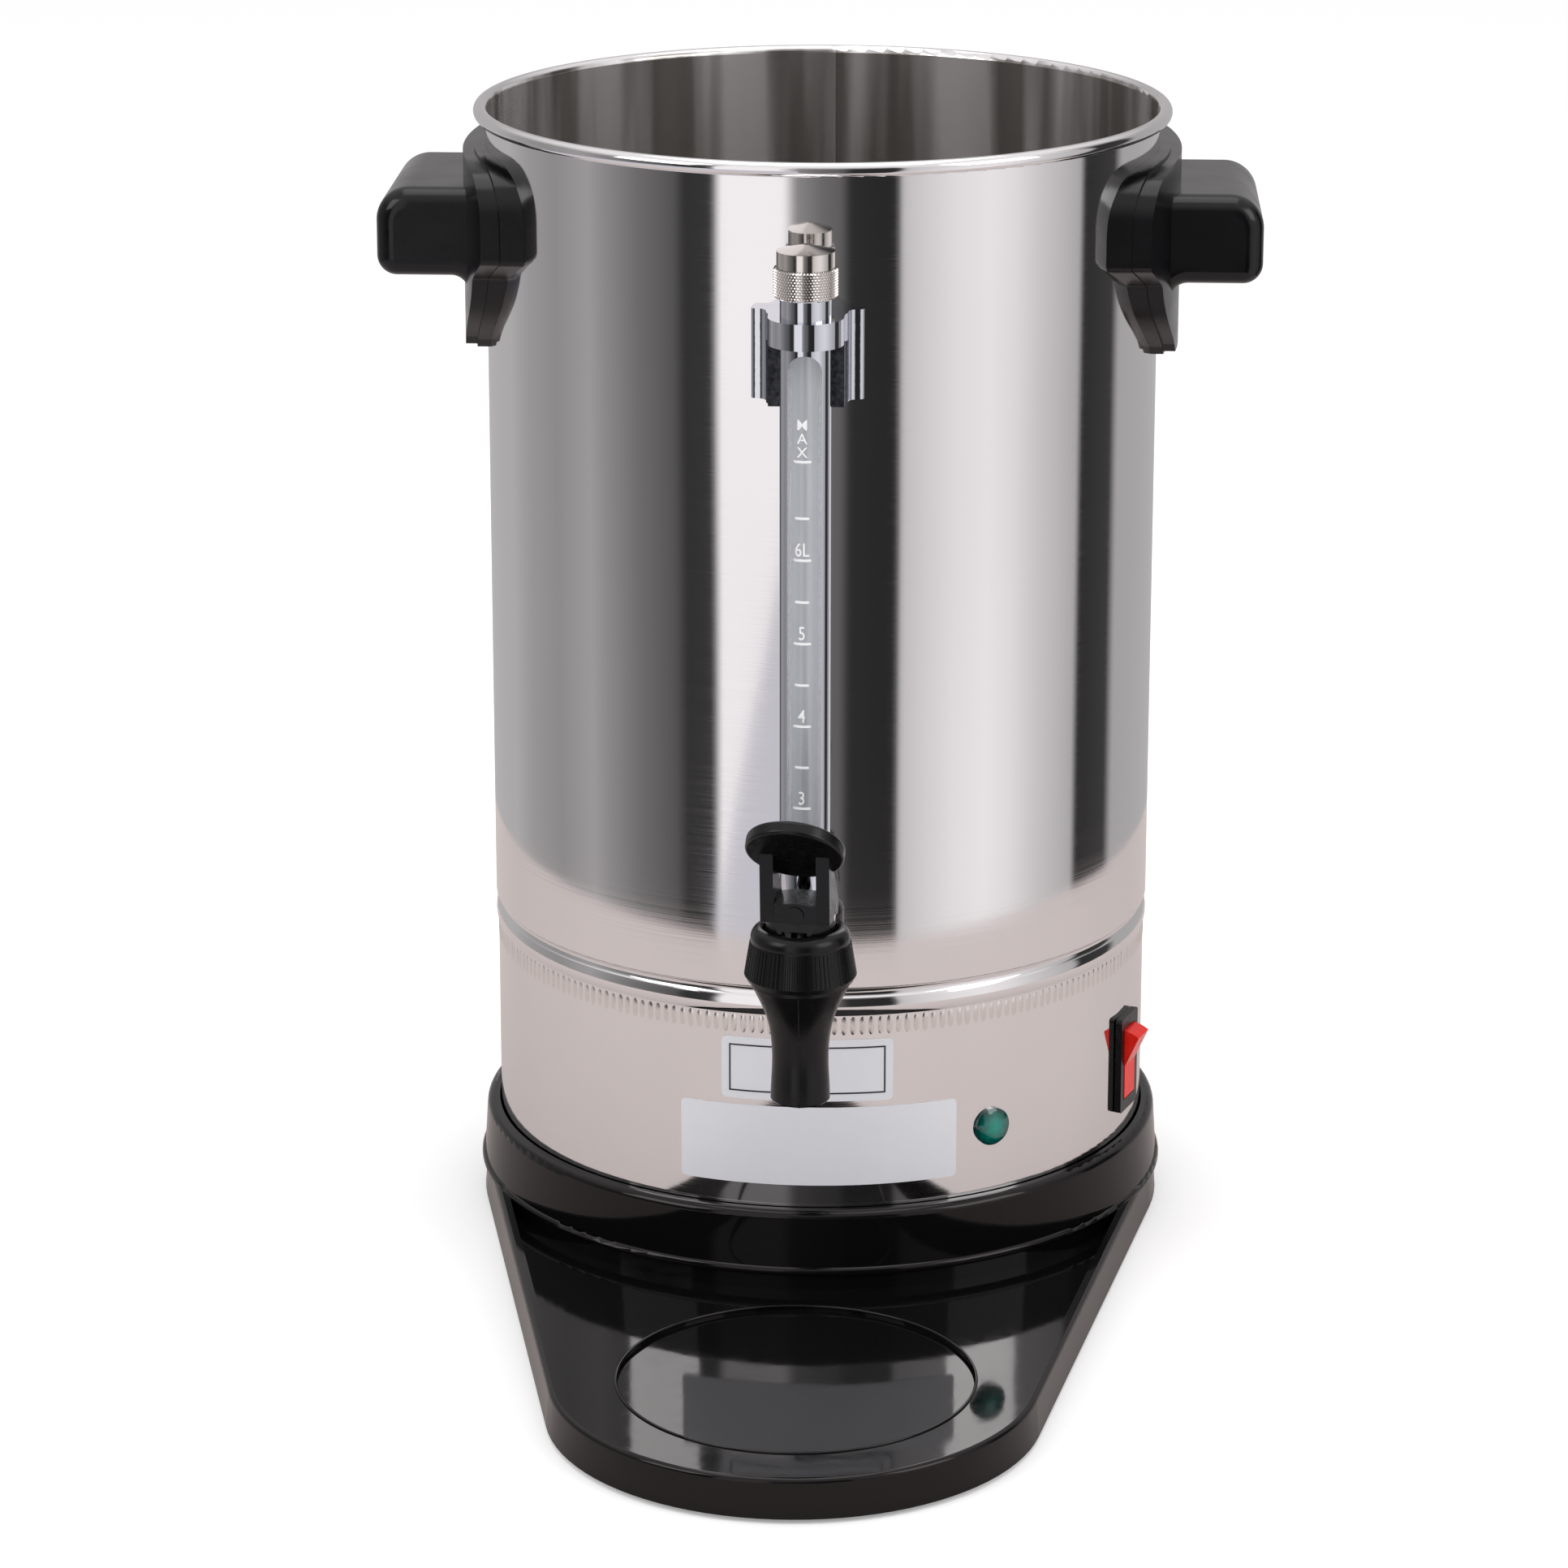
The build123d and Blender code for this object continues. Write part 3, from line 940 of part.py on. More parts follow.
# ---- all pieces -----------------------------------------------------------------------
rear = REAR_FOOT_PLACE / sqrt(2)
pieces = {
    "body_shell": body_shell(),
    "pot_bottom": pot_bottom(),
    "base_collar": base_collar(),
    "base_ledge": base_ledge(),
    "base_cover": base_cover(),
    "foot_front_left": foot(-FRONT_FOOT_X, -FRONT_FOOT_Y),
    "foot_front_right": foot(FRONT_FOOT_X, -FRONT_FOOT_Y),
    "foot_rear_left": foot(-rear, rear),
    "foot_rear_right": foot(rear, rear),
    "heater_plate": heater_plate(),
    "heater_element": heater_element(),
    "thermostat": thermostat(),
    "thermal_cutout": thermal_cutout(),
    "terminal_block": terminal_block(),
    "tap_shank": tap_shank(),
    "shank_seal_outer": shank_seal_outer(),
    "shank_seal_inner": shank_seal_inner(),
    "shank_nut": shank_nut(),
    "tap_body": tap_body(),
    "tap_bonnet": tap_bonnet(),
    "tap_stem": tap_stem(),
    "seat_cup": seat_cup(),
    "tap_spring": tap_spring(),
    "tap_lever": tap_lever(),
    "lever_pin": lever_pin(),
    "gauge_tee": gauge_tee(),
    "gauge_collet": gauge_collet(),
    "gauge_seal_lower": ring(SOCKET_R - SOCKET_WALL, GLASS_R, SOCKET_FLOOR_Z, SOCKET_FLOOR_Z + LOWER_SEAL_H),
    "gauge_seal_upper": ring(GUARD_R - GUARD_WALL, GLASS_R, GLASS_TOP_Z - UPPER_SEAL_H, GLASS_TOP_Z),
    "gauge_glass": ring(GLASS_R, GLASS_R - GLASS_WALL, SOCKET_FLOOR_Z, GLASS_TOP_Z),
    "gauge_guard": gauge_guard(),
    "gauge_bracket": gauge_bracket(),
    "gauge_cap_washer": ring(GUARD_R - WASHER_PLAY, WASHER_HOLE_R, GUARD_TOP_Z, GUARD_TOP_Z + WASHER_T),
    "gauge_cap": gauge_cap(),
    "switch_housing": switch_housing(),
    "switch_rocker": switch_rocker(),
    "pilot_lamp": pilot_lamp(),
    "lamp_nut": lamp_nut(),
    "cord_gland": cord_gland(),
    "gland_nut": gland_nut(),
}
for name, make in (("handle", handle), ("handle_pad", handle_pad), ("handle_stud", handle_stud), ("handle_nut", handle_nut)):
    right = make()
    pieces[name + "_right"] = right
    pieces[name + "_left"] = Rot(0, 0, 180) * right

os.makedirs("parts", exist_ok=True)
for name, piece in pieces.items():
    export_step(Pos(0, AXIS_Y, 0) * piece, "parts/" + name + ".step")
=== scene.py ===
import math

import bpy
from mathutils import Matrix, Vector


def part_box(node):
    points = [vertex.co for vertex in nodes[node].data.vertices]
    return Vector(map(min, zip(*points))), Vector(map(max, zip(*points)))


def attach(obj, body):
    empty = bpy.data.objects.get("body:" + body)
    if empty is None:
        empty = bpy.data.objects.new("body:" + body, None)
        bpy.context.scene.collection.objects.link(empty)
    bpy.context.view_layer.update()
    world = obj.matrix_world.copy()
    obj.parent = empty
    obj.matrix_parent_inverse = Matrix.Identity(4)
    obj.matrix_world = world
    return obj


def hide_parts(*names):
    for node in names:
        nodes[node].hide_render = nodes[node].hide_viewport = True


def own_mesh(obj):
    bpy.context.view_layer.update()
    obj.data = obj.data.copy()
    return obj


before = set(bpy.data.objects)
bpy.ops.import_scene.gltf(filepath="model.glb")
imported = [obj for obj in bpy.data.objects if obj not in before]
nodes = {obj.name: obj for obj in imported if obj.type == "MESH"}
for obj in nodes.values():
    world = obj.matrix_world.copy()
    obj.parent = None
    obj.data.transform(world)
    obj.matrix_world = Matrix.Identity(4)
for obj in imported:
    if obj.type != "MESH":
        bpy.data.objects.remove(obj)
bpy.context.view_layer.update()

# ---------------------------------------------------------------------------------------
# Studio.  A pale sweep with the boiler in the middle, white walls all round it with dark
# gaps between the soft boxes, and one long lens a little above the rim.
# ---------------------------------------------------------------------------------------
plate_low, plate_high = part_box("heater_plate")
AXIS_Y = (plate_low.y + plate_high.y) / 2    # the vessel's upright axis stands at (0, AXIS_Y)
CAMERA_SIDE = math.radians(2.3)      # the camera stands this far round to the right
CAMERA_AWAY = 1.6701                 # level distance from the vessel's axis
CAMERA_HIGH = 0.6657
CAMERA_DOWN = math.radians(15.632)
CAMERA_ROLL = 0.0024


def stand(name, data):
    """New object at the origin that holds a mesh, a curve, a lamp or a camera."""
    made = bpy.data.objects.new(name, data)
    bpy.context.scene.collection.objects.link(made)
    return made


camera_data = bpy.data.cameras.new("camera")
camera_data.lens = 118.85
camera_data.sensor_width = 36.0
camera_data.shift_x = -0.0240
camera_data.shift_y = -0.1004
camera_data.clip_start = 0.05
camera_data.clip_end = 50.0
camera = stand("camera", camera_data)
camera_place = (
    CAMERA_AWAY * math.sin(CAMERA_SIDE),
    AXIS_Y - CAMERA_AWAY * math.cos(CAMERA_SIDE),
    CAMERA_HIGH,
)
camera.matrix_world = (
    Matrix.Translation(camera_place)
    @ Matrix.Rotation(CAMERA_SIDE, 4, "Z")
    @ Matrix.Rotation(math.pi / 2 - CAMERA_DOWN, 4, "X")
    @ Matrix.Rotation(CAMERA_ROLL, 4, "Z")
)
bpy.context.scene.camera = camera
bpy.context.scene.view_settings.view_transform = "Standard"


def wire(tree, kind, inputs=None, **settings):
    """Add a shader or geometry node, set its properties and its inputs, and return it."""
    node = tree.nodes.new(kind)
    for name, value in settings.items():
        setattr(node, name, value)
    for socket, value in (inputs or {}).items():
        if isinstance(value, bpy.types.NodeSocket):
            tree.links.new(value, node.inputs[socket])
        else:
            node.inputs[socket].default_value = value
    return node


def math_node(tree, operation, a, b=0.0, c=0.0):
    """One Math node; a, b and c are sockets or numbers."""
    return wire(tree, "ShaderNodeMath", {0: a, 1: b, 2: c}, operation=operation).outputs[0]


def blend(tree, factor, low, high):
    """Mix of two colours, each a socket or a red, green and blue."""
    low, high = (c if isinstance(c, bpy.types.NodeSocket) else (*c, 1) for c in (low, high))
    return wire(tree, "ShaderNodeMix", {0: factor, 6: low, 7: high}, data_type="RGBA").outputs[2]


def colour_ramp(tree, factor, stops):
    """Color Ramp node with (position, colour) stops."""
    ramp = wire(tree, "ShaderNodeValToRGB", {0: factor})
    elements = ramp.color_ramp.elements
    while len(elements) < len(stops):
        elements.new(0.5)
    for element, (position, colour) in zip(elements, stops):
        element.position = position
        element.color = (*colour, 1)
    return ramp.outputs[0]


WALLS = (                            # degrees round from the camera, to the right, and grey
    (-180, 0.48), (-134, 0.46), (-120, 0.36), (-103, 0.30), (-86, 0.37), (-79, 0.29),
    (-65, 0.17), (-51, 0.10), (-47, 0.035), (-37, 0.04), (-34, 0.99), (-13, 1.0),
    (-9, 0.28), (0, 0.16), (6, 0.13), (9, 0.03), (25, 0.022), (27, 0.60), (34, 0.70),
    (46, 0.84), (58, 0.90), (68, 0.82), (79, 0.65), (97, 0.46), (100, 0.03), (117, 0.05),
    (122, 0.42), (180, 0.48),
)
WALL_TINT = (1.0, 0.97, 0.985)
FLAG_AT = math.radians(-9.0)         # a grey flag leans across the foot of the left soft box
FLAG_LEAN = math.radians(355.0)
FLAG_Z = -0.246
FLAG_GREY = (0.60, 0.59, 0.65)
CEILING_FROM = 0.35                  # rise of a ray at which the walls start to turn
CEILING_FULL = 0.75                  # into ceiling, and at which they have
CEILING_WHITE = (0.9, 0.88, 0.89)
ROOM_FILL = (0.80, 0.79, 0.80)       # what the room sheds on matt surfaces
world = bpy.data.worlds.new("studio_walls")
bpy.context.scene.world = world
world.use_nodes = True
tree = world.node_tree
tree.nodes.clear()
direction = wire(tree, "ShaderNodeTexCoord").outputs["Generated"]
ray = wire(tree, "ShaderNodeSeparateXYZ", {0: direction}).outputs
towards = math_node(tree, "MULTIPLY", ray["Y"], -1.0)
bearing = math_node(tree, "ARCTAN2", ray["X"], towards)
bearing = math_node(tree, "SUBTRACT", bearing, CAMERA_SIDE)
share = math_node(tree, "MULTIPLY_ADD", bearing, 1 / math.tau, 0.5)
stops = [((degrees + 180) / 360, [grey * part for part in WALL_TINT]) for degrees, grey in WALLS]
walls = colour_ramp(tree, share, stops)
fall = math_node(tree, "MAXIMUM", math_node(tree, "SUBTRACT", FLAG_Z, ray["Z"]), 0.0)
flag_edge = math_node(tree, "SUBTRACT", FLAG_AT, math_node(tree, "MULTIPLY", fall, FLAG_LEAN))
past_edge = math_node(tree, "GREATER_THAN", bearing, flag_edge)
before_end = math_node(tree, "LESS_THAN", bearing, FLAG_AT)
walls = blend(tree, math_node(tree, "MULTIPLY", past_edge, before_end), walls, FLAG_GREY)
raised = wire(tree, "ShaderNodeMapRange", {0: ray["Z"], 1: CEILING_FROM, 2: CEILING_FULL})
room = blend(tree, raised.outputs[0], walls, CEILING_WHITE)
rays = wire(tree, "ShaderNodeLightPath").outputs
room = blend(tree, rays["Is Diffuse Ray"], room, ROOM_FILL)
room = blend(tree, rays["Is Camera Ray"], room, (1, 1, 1))
background = wire(tree, "ShaderNodeBackground", {"Color": room, "Strength": 1.0})
wire(tree, "ShaderNodeOutputWorld", {"Surface": background.outputs[0]})


def off_axis(tree, y):
    """Level distance of a point from the upright axis at (0, y)."""
    place = wire(tree, "ShaderNodeTexCoord").outputs["Object"]
    flat = wire(tree, "ShaderNodeVectorMath", {0: place, 1: (1, 1, 0)}, operation="MULTIPLY")
    middle = {0: flat.outputs[0], 1: (0, y, 0)}
    return wire(tree, "ShaderNodeVectorMath", middle, operation="DISTANCE").outputs["Value"]


SWEEP_HALF = 12.0
PAPER_WHITE = (0.86, 0.855, 0.85)
PAPER_GLOW = 0.27                    # added for the camera, so that the paper stays white
TABLE_R = 0.47                       # the pale table top that the steel mirrors
TABLE_TONE = (0.56, 0.505, 0.49)
sweep_mesh = bpy.data.meshes.new("sweep")
sweep_corners = [
    (-SWEEP_HALF, -SWEEP_HALF, 0), (SWEEP_HALF, -SWEEP_HALF, 0),
    (SWEEP_HALF, SWEEP_HALF, 0), (-SWEEP_HALF, SWEEP_HALF, 0),
]
sweep_mesh.from_pydata(sweep_corners, [], [(0, 1, 2, 3)])
sweep = stand("sweep", sweep_mesh)
paper = bpy.data.materials.new("sweep_paper")
paper.use_nodes = True
tree = paper.node_tree
tree.nodes.clear()
rays = wire(tree, "ShaderNodeLightPath").outputs
past_table = math_node(tree, "GREATER_THAN", off_axis(tree, AXIS_Y), TABLE_R)
mirrored = math_node(tree, "MULTIPLY", past_table, rays["Is Glossy Ray"])
tone = blend(tree, rays["Is Glossy Ray"], PAPER_WHITE, TABLE_TONE)
matt = wire(tree, "ShaderNodeBsdfDiffuse", {"Color": tone}).outputs[0]
glow = wire(tree, "ShaderNodeEmission", {"Color": (1, 1, 1, 1), "Strength": PAPER_GLOW}).outputs[0]
lit = wire(tree, "ShaderNodeAddShader", {0: matt, 1: glow}).outputs[0]
seen = wire(tree, "ShaderNodeMixShader", {0: rays["Is Camera Ray"], 1: matt, 2: lit}).outputs[0]
clear = wire(tree, "ShaderNodeBsdfTransparent").outputs[0]
either = wire(tree, "ShaderNodeMixShader", {0: mirrored, 1: seen, 2: clear})
wire(tree, "ShaderNodeOutputMaterial", {"Surface": either.outputs[0]})
sweep_mesh.materials.append(paper)


def soft_box(name, place, size, power):
    """Square area lamp that faces the middle of the body."""
    lamp = bpy.data.lights.new(name, "AREA")
    lamp.shape = "SQUARE"
    lamp.size = size
    lamp.energy = power
    aim = (Vector((0, AXIS_Y, 0.2)) - Vector(place)).to_track_quat("-Z", "Y")
    stand(name, lamp).matrix_world = Matrix.Translation(place) @ aim.to_matrix().to_4x4()


soft_box("soft_box_left", (-1.5, -1.0, 1.3), 1.0, 8.0)
soft_box("soft_box_right", (1.6, -0.8, 1.2), 1.0, 8.0)
soft_box("soft_box_top", (0.0, 0.2, 2.0), 1.4, 10.0)


# ---------------------------------------------------------------------------------------
# Vessel.  A tube rolled from 0.8 mm stainless sheet, polished to a mirror outside and left
# brushed inside, its top edge curled over.  A groove pressed round it carries the bottom.
# ---------------------------------------------------------------------------------------
def material(name, colour, roughness, metallic=0.0, **sockets):
    """New Principled material; returns the material, its tree and its shader node."""
    made = bpy.data.materials.new(name)
    made.use_nodes = True
    shader = made.node_tree.nodes["Principled BSDF"]
    shader.inputs["Base Color"].default_value = (*colour, 1)
    shader.inputs["Roughness"].default_value = roughness
    shader.inputs["Metallic"].default_value = metallic
    for socket, value in sockets.items():
        shader.inputs[socket.replace("_", " ")].default_value = value
    return made, made.node_tree, shader


def noise(tree, scale, detail=3.0, stretch=(1.0, 1.0, 1.0)):
    """Noise over Object coordinates, in lumps per metre, drawn out by stretch."""
    place = wire(tree, "ShaderNodeTexCoord").outputs["Object"]
    drawn = wire(tree, "ShaderNodeMapping", {"Vector": place, "Scale": stretch}).outputs[0]
    lumps = {"Vector": drawn, "Scale": scale, "Detail": detail}
    return wire(tree, "ShaderNodeTexNoise", lumps).outputs[0]


def spread(tree, factor, low, high):
    """Carry the middle of a noise over to the range from low to high."""
    return wire(tree, "ShaderNodeMapRange", {0: factor, 1: 0.3, 2: 0.7, 3: low, 4: high}).outputs[0]


def sheen(tree, shader, factor, low, high):
    """Let the roughness run from low to high with a noise."""
    tree.links.new(spread(tree, factor, low, high), shader.inputs["Roughness"])


def tint(tree, shader, factor, dark, light):
    """Let the base colour run from dark to light with a factor."""
    tree.links.new(blend(tree, factor, dark, light), shader.inputs["Base Color"])


def grain(tree, shader, height, depth):
    """Raise the surface by a height texture, depth metres at most."""
    bump = wire(tree, "ShaderNodeBump", {"Height": height, "Distance": depth, "Strength": 1.0})
    tree.links.new(bump.outputs[0], shader.inputs["Normal"])


def dress(finish, *names):
    """Give modelled parts their finish."""
    for name in names:
        mesh = nodes[name].data
        mesh.materials.clear()
        mesh.materials.append(finish)


def reach(name, low, high, y=AXIS_Y):
    """Largest level distance of a part's corners from the axis at (0, y), between heights."""
    corners = [v.co for v in nodes[name].data.vertices if low <= v.co.z <= high]
    return max(math.hypot(corner.x, corner.y - y) for corner in corners)


WALL_FROM = 0.12                     # the plain wall between the groove and the rim
WALL_TO = 0.36
SHEET = 0.0008
GROOVE_HEAD_Z = 0.115                # above the groove, where the brushed inside begins to show
STREAK_PAINT_FROM = 0.42                    # the part of the brushing's noise that makes the painted dark and bright streaks, a painted reflection of the room
STREAK_PAINT_TO = 0.58                      # bright streaks
PAINTED_DARK_REFLECTION = (0.36, 0.335, 0.315)
PAINTED_BRIGHT_REFLECTION = (1.0, 0.985, 0.98)
BODY_R = reach("body_shell", WALL_FROM, WALL_TO)
steel, tree, shader = material("mirror_steel", (0.88, 0.868, 0.868), 0.06, 1.0)
place = wire(tree, "ShaderNodeSeparateXYZ", {0: wire(tree, "ShaderNodeTexCoord").outputs["Object"]})
east, north, up = place.outputs
around = math_node(tree, "ARCTAN2", east, math_node(tree, "SUBTRACT", AXIS_Y, north))
within = math_node(tree, "LESS_THAN", off_axis(tree, AXIS_Y), BODY_R - SHEET / 2)
inner = math_node(tree, "MULTIPLY", within, math_node(tree, "GREATER_THAN", up, GROOVE_HEAD_Z))
polish = noise(tree, 1.0, 3.0, (3.0, 3.0, 2600.0))
outer_gloss = spread(tree, polish, 0.035, 0.10)
ring = wire(tree, "ShaderNodeCombineXYZ", {0: around, 1: math_node(tree, "MULTIPLY", up, 0.5)})
brushing_and_painted_streaks = {"Vector": ring.outputs[0], "Scale": 4.5, "Detail": 3.0}
streak = wire(tree, "ShaderNodeTexNoise", brushing_and_painted_streaks).outputs[0]
inner_gloss = spread(tree, streak, 0.14, 0.24)
both_gloss = wire(tree, "ShaderNodeMix", {0: inner, 2: outer_gloss, 3: inner_gloss}).outputs[0]
tree.links.new(both_gloss, shader.inputs["Roughness"])
# Painted reflection: the inside's colour runs in dark and bright streaks; the brushing itself is
# only in the roughness.
painted_streak_share = wire(tree, "ShaderNodeMapRange", {0: streak, 1: STREAK_PAINT_FROM, 2: STREAK_PAINT_TO}).outputs[0]
painted_reflection_streaks = blend(tree, painted_streak_share, PAINTED_DARK_REFLECTION, PAINTED_BRIGHT_REFLECTION)
cloud = spread(tree, noise(tree, 14.0, 2.0, (1.0, 1.0, 0.4)), 0.0, 1.0)
mirror = blend(tree, cloud, (0.85, 0.838, 0.838), (0.90, 0.888, 0.888))
tint(tree, shader, inner, mirror, painted_reflection_streaks)
less_metal = math_node(tree, "MULTIPLY", inner, 0.1)
tree.links.new(math_node(tree, "SUBTRACT", 1.0, less_metal), shader.inputs["Metallic"])
sway = noise(tree, 9.0, 1.0, (1.0, 1.0, 0.5))
grain(tree, shader, math_node(tree, "MULTIPLY_ADD", polish, 0.004, sway), 0.0004)
dress(steel, "body_shell")

pan_steel, tree, shader = material("pot_bottom_steel", (0.80, 0.78, 0.76), 0.28, 1.0)
rings = noise(tree, 60.0)
sheen(tree, shader, rings, 0.2, 0.36)
tint(tree, shader, rings, (0.72, 0.70, 0.68), (0.86, 0.84, 0.82))
dress(pan_steel, "pot_bottom")

# ---------------------------------------------------------------------------------------
# Weld stitches.  The pot bottom is rolled into the wall by a wheel that leaves one row of
# short upright dents all round, just above the skirt.
# ---------------------------------------------------------------------------------------
def stud_mesh(name, corners, faces):
    """Mesh of one small stud: X points outwards, Y along the ring and Z up."""
    mesh = bpy.data.meshes.new(name)
    mesh.from_pydata(corners, [], faces)
    mesh.update()
    return mesh


def smooth(mesh):
    """Shade a mesh as one rounded surface."""
    for face in mesh.polygons:
        face.use_smooth = True


def settle(holder):
    """Turn an object with modifiers into a plain mesh that keeps its name and finish."""
    ready = bpy.context.evaluated_depsgraph_get()
    mesh = bpy.data.meshes.new_from_object(holder.evaluated_get(ready))
    holder.modifiers.clear()
    holder.data = mesh
    return holder


def studs_round(name, stud, finish, centre, **sizes):
    """Rows of one stud on rings about an upright axis, made by Geometry Nodes."""
    sockets = {
        "Geometry": "NodeSocketGeometry", "Stud": "NodeSocketObject",
        "Finish": "NodeSocketMaterial", "Rows": "NodeSocketInt", "Per row": "NodeSocketInt",
        "Radius": "NodeSocketFloat", "First height": "NodeSocketFloat",
        "Row pitch": "NodeSocketFloat", "Stagger": "NodeSocketFloat",
        "Centre": "NodeSocketVector", "Start": "NodeSocketFloat",
    }
    tree = bpy.data.node_groups.new(name, "GeometryNodeTree")
    made = {}
    for label, kind in sockets.items():
        made[label] = tree.interface.new_socket(label, in_out="INPUT", socket_type=kind)
    tree.interface.new_socket("Geometry", in_out="OUTPUT", socket_type="NodeSocketGeometry")
    given = wire(tree, "NodeGroupInput").outputs
    count = math_node(tree, "MULTIPLY", given["Rows"], given["Per row"])
    points = wire(tree, "GeometryNodePoints", {"Count": count})
    index = wire(tree, "GeometryNodeInputIndex").outputs[0]
    row = math_node(tree, "FLOOR", math_node(tree, "DIVIDE", index, given["Per row"]))
    odd = math_node(tree, "MODULO", row, 2.0)
    step = math_node(tree, "ADD", index, math_node(tree, "MULTIPLY", odd, given["Stagger"]))
    turn = math_node(tree, "DIVIDE", step, given["Per row"])
    angle = math_node(tree, "MULTIPLY", turn, math.tau)
    angle = math_node(tree, "ADD", angle, given["Start"])
    east = math_node(tree, "MULTIPLY", math_node(tree, "COSINE", angle), given["Radius"])
    north = math_node(tree, "MULTIPLY", math_node(tree, "SINE", angle), given["Radius"])
    rise = math_node(tree, "MULTIPLY", row, given["Row pitch"])
    high = math_node(tree, "ADD", given["First height"], rise)
    spot = wire(tree, "ShaderNodeCombineXYZ", {0: east, 1: north, 2: high}).outputs[0]
    spot = wire(tree, "ShaderNodeVectorMath", {0: spot, 1: given["Centre"]}, operation="ADD")
    at_spot = {"Geometry": points.outputs[0], "Position": spot.outputs[0]}
    placed = wire(tree, "GeometryNodeSetPosition", at_spot)
    stud_in = wire(tree, "GeometryNodeObjectInfo", {"Object": given["Stud"]})
    facing = wire(tree, "ShaderNodeCombineXYZ", {2: angle})
    copies = wire(tree, "GeometryNodeInstanceOnPoints", {
        "Points": placed.outputs[0],
        "Instance": stud_in.outputs["Geometry"],
        "Rotation": facing.outputs[0],
    })
    real = wire(tree, "GeometryNodeRealizeInstances", {0: copies.outputs[0]}).outputs[0]
    finished = {"Geometry": real, "Material": given["Finish"]}
    painted = wire(tree, "GeometryNodeSetMaterial", finished)
    wire(tree, "NodeGroupOutput", {0: painted.outputs[0]})
    one = bpy.data.objects.new(name + "_one", stud)
    values = {"Stud": one, "Finish": finish, "Centre": centre}
    for size, value in sizes.items():
        values[size.replace("_", " ").capitalize()] = value
    holder = stand(name, bpy.data.meshes.new(name + "_start"))
    modifier = holder.modifiers.new("studs", "NODES")
    modifier.node_group = tree
    for label, value in values.items():
        modifier[made[label].identifier] = value
    return settle(holder)


SKIRT_FROM = 0.05                    # the plain skirt below the stitches
SKIRT_TO = 0.088
STITCH_LOW = 0.0930
STITCH_HIGH = 0.0992
STITCH_W = 0.0021
STITCH_PROUD = 0.00017
STITCH_END_W = 0.35                  # share of the width left at a stitch's ends
STITCHES = 232
UP_SHARES = (-1.0, -0.72, -0.3, 0.3, 0.72, 1.0)
SIDE_SHARES = (-1.0, -0.5, 0.0, 0.5, 1.0)
skirt_r = reach("body_shell", SKIRT_FROM, SKIRT_TO)
stitch_half = (STITCH_HIGH - STITCH_LOW) / 2
stitch_corners = []
for share in UP_SHARES:
    swell = math.sqrt(1 - share * share)
    half_w = STITCH_W / 2 * (STITCH_END_W + (1 - STITCH_END_W) * swell)
    for side in SIDE_SHARES:
        proud = STITCH_PROUD * swell * (1 - side * side) - STITCH_PROUD / 4
        stitch_corners.append((proud, side * half_w, share * stitch_half))
columns = len(SIDE_SHARES)
stitch_faces = []
for row in range(len(UP_SHARES) - 1):
    for column in range(columns - 1):
        first = columns * row + column
        stitch_faces.append((first, first + 1, first + columns + 1, first + columns))
stitch = stud_mesh("weld_stitch_one", stitch_corners, stitch_faces)
smooth(stitch)
stitch_steel, tree, shader = material("stitch_steel", (0.80, 0.775, 0.75), 0.16, 1.0)
sheen(tree, shader, noise(tree, 900.0), 0.10, 0.24)
weld = studs_round("weld_stitches", stitch, stitch_steel, (0, AXIS_Y, 0), rows=1,
                   per_row=STITCHES, radius=skirt_r, first_height=(STITCH_LOW + STITCH_HIGH) / 2)
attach(weld, "urn")

# ---------------------------------------------------------------------------------------
# Base.  Two glossy black mouldings, the collar round the skirt and the ledge that runs out
# under the tap, screwed together from below through a zinc-plated cover on rubber feet.
# ---------------------------------------------------------------------------------------
BLACK = (0.004, 0.004, 0.0045)
gloss, tree, shader = material("gloss_black", BLACK, 0.06, Specular_IOR_Level=0.3,
                               Specular_Tint=(1.0, 0.93, 0.90, 1))
sheen(tree, shader, noise(tree, 220.0), 0.04, 0.085)
grain(tree, shader, noise(tree, 60.0, 1.0), 0.00004)
dress(gloss, "base_collar", "base_ledge")


def plain(holder, finish):
    """Plain mesh object from a curve or text object that stands at the origin."""
    bpy.context.scene.collection.objects.link(holder)
    bpy.context.view_layer.update()
    ready = bpy.context.evaluated_depsgraph_get()
    mesh = bpy.data.meshes.new_from_object(holder.evaluated_get(ready))
    mesh.materials.clear()
    mesh.materials.append(finish)
    name = holder.name
    bpy.data.objects.remove(holder)
    return stand(name, mesh)


def bead_along(name, points, radius, finish, closed=False):
    """Thin round bead that follows a line of points."""
    curve = bpy.data.curves.new(name, "CURVE")
    curve.dimensions = "3D"
    curve.bevel_depth = radius
    curve.bevel_resolution = 2
    curve.use_fill_caps = not closed
    line = curve.splines.new("POLY")
    line.points.add(len(points) - 1)
    line.use_cyclic_u = closed
    for point, place in zip(line.points, points):
        point.co = (*place, 1)
    return plain(bpy.data.objects.new(name, curve), finish)


DISH_Z = 0.0068                      # floor of the round dish that the cup stands in
LEDGE_FLOOR_Z = 0.0080
CUP_LIP_R = 0.00055
LIP_POINTS = 96
ledge_corners = [v.co for v in nodes["base_ledge"].data.vertices]
dish = [corner for corner in ledge_corners if abs(corner.z - DISH_Z) < 0.0001]
dish_r = (max(corner.x for corner in dish) - min(corner.x for corner in dish)) / 2
dish_y = min(corner.y for corner in dish) + dish_r
lip = []
for k in range(LIP_POINTS):
    turn = math.tau * k / LIP_POINTS
    lip.append((dish_r * math.sin(turn), dish_y - dish_r * math.cos(turn), LEDGE_FLOOR_Z))
cup_lip = bead_along("cup_dish_lip", lip, CUP_LIP_R, gloss, closed=True)
smooth(cup_lip.data)
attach(cup_lip, "urn")

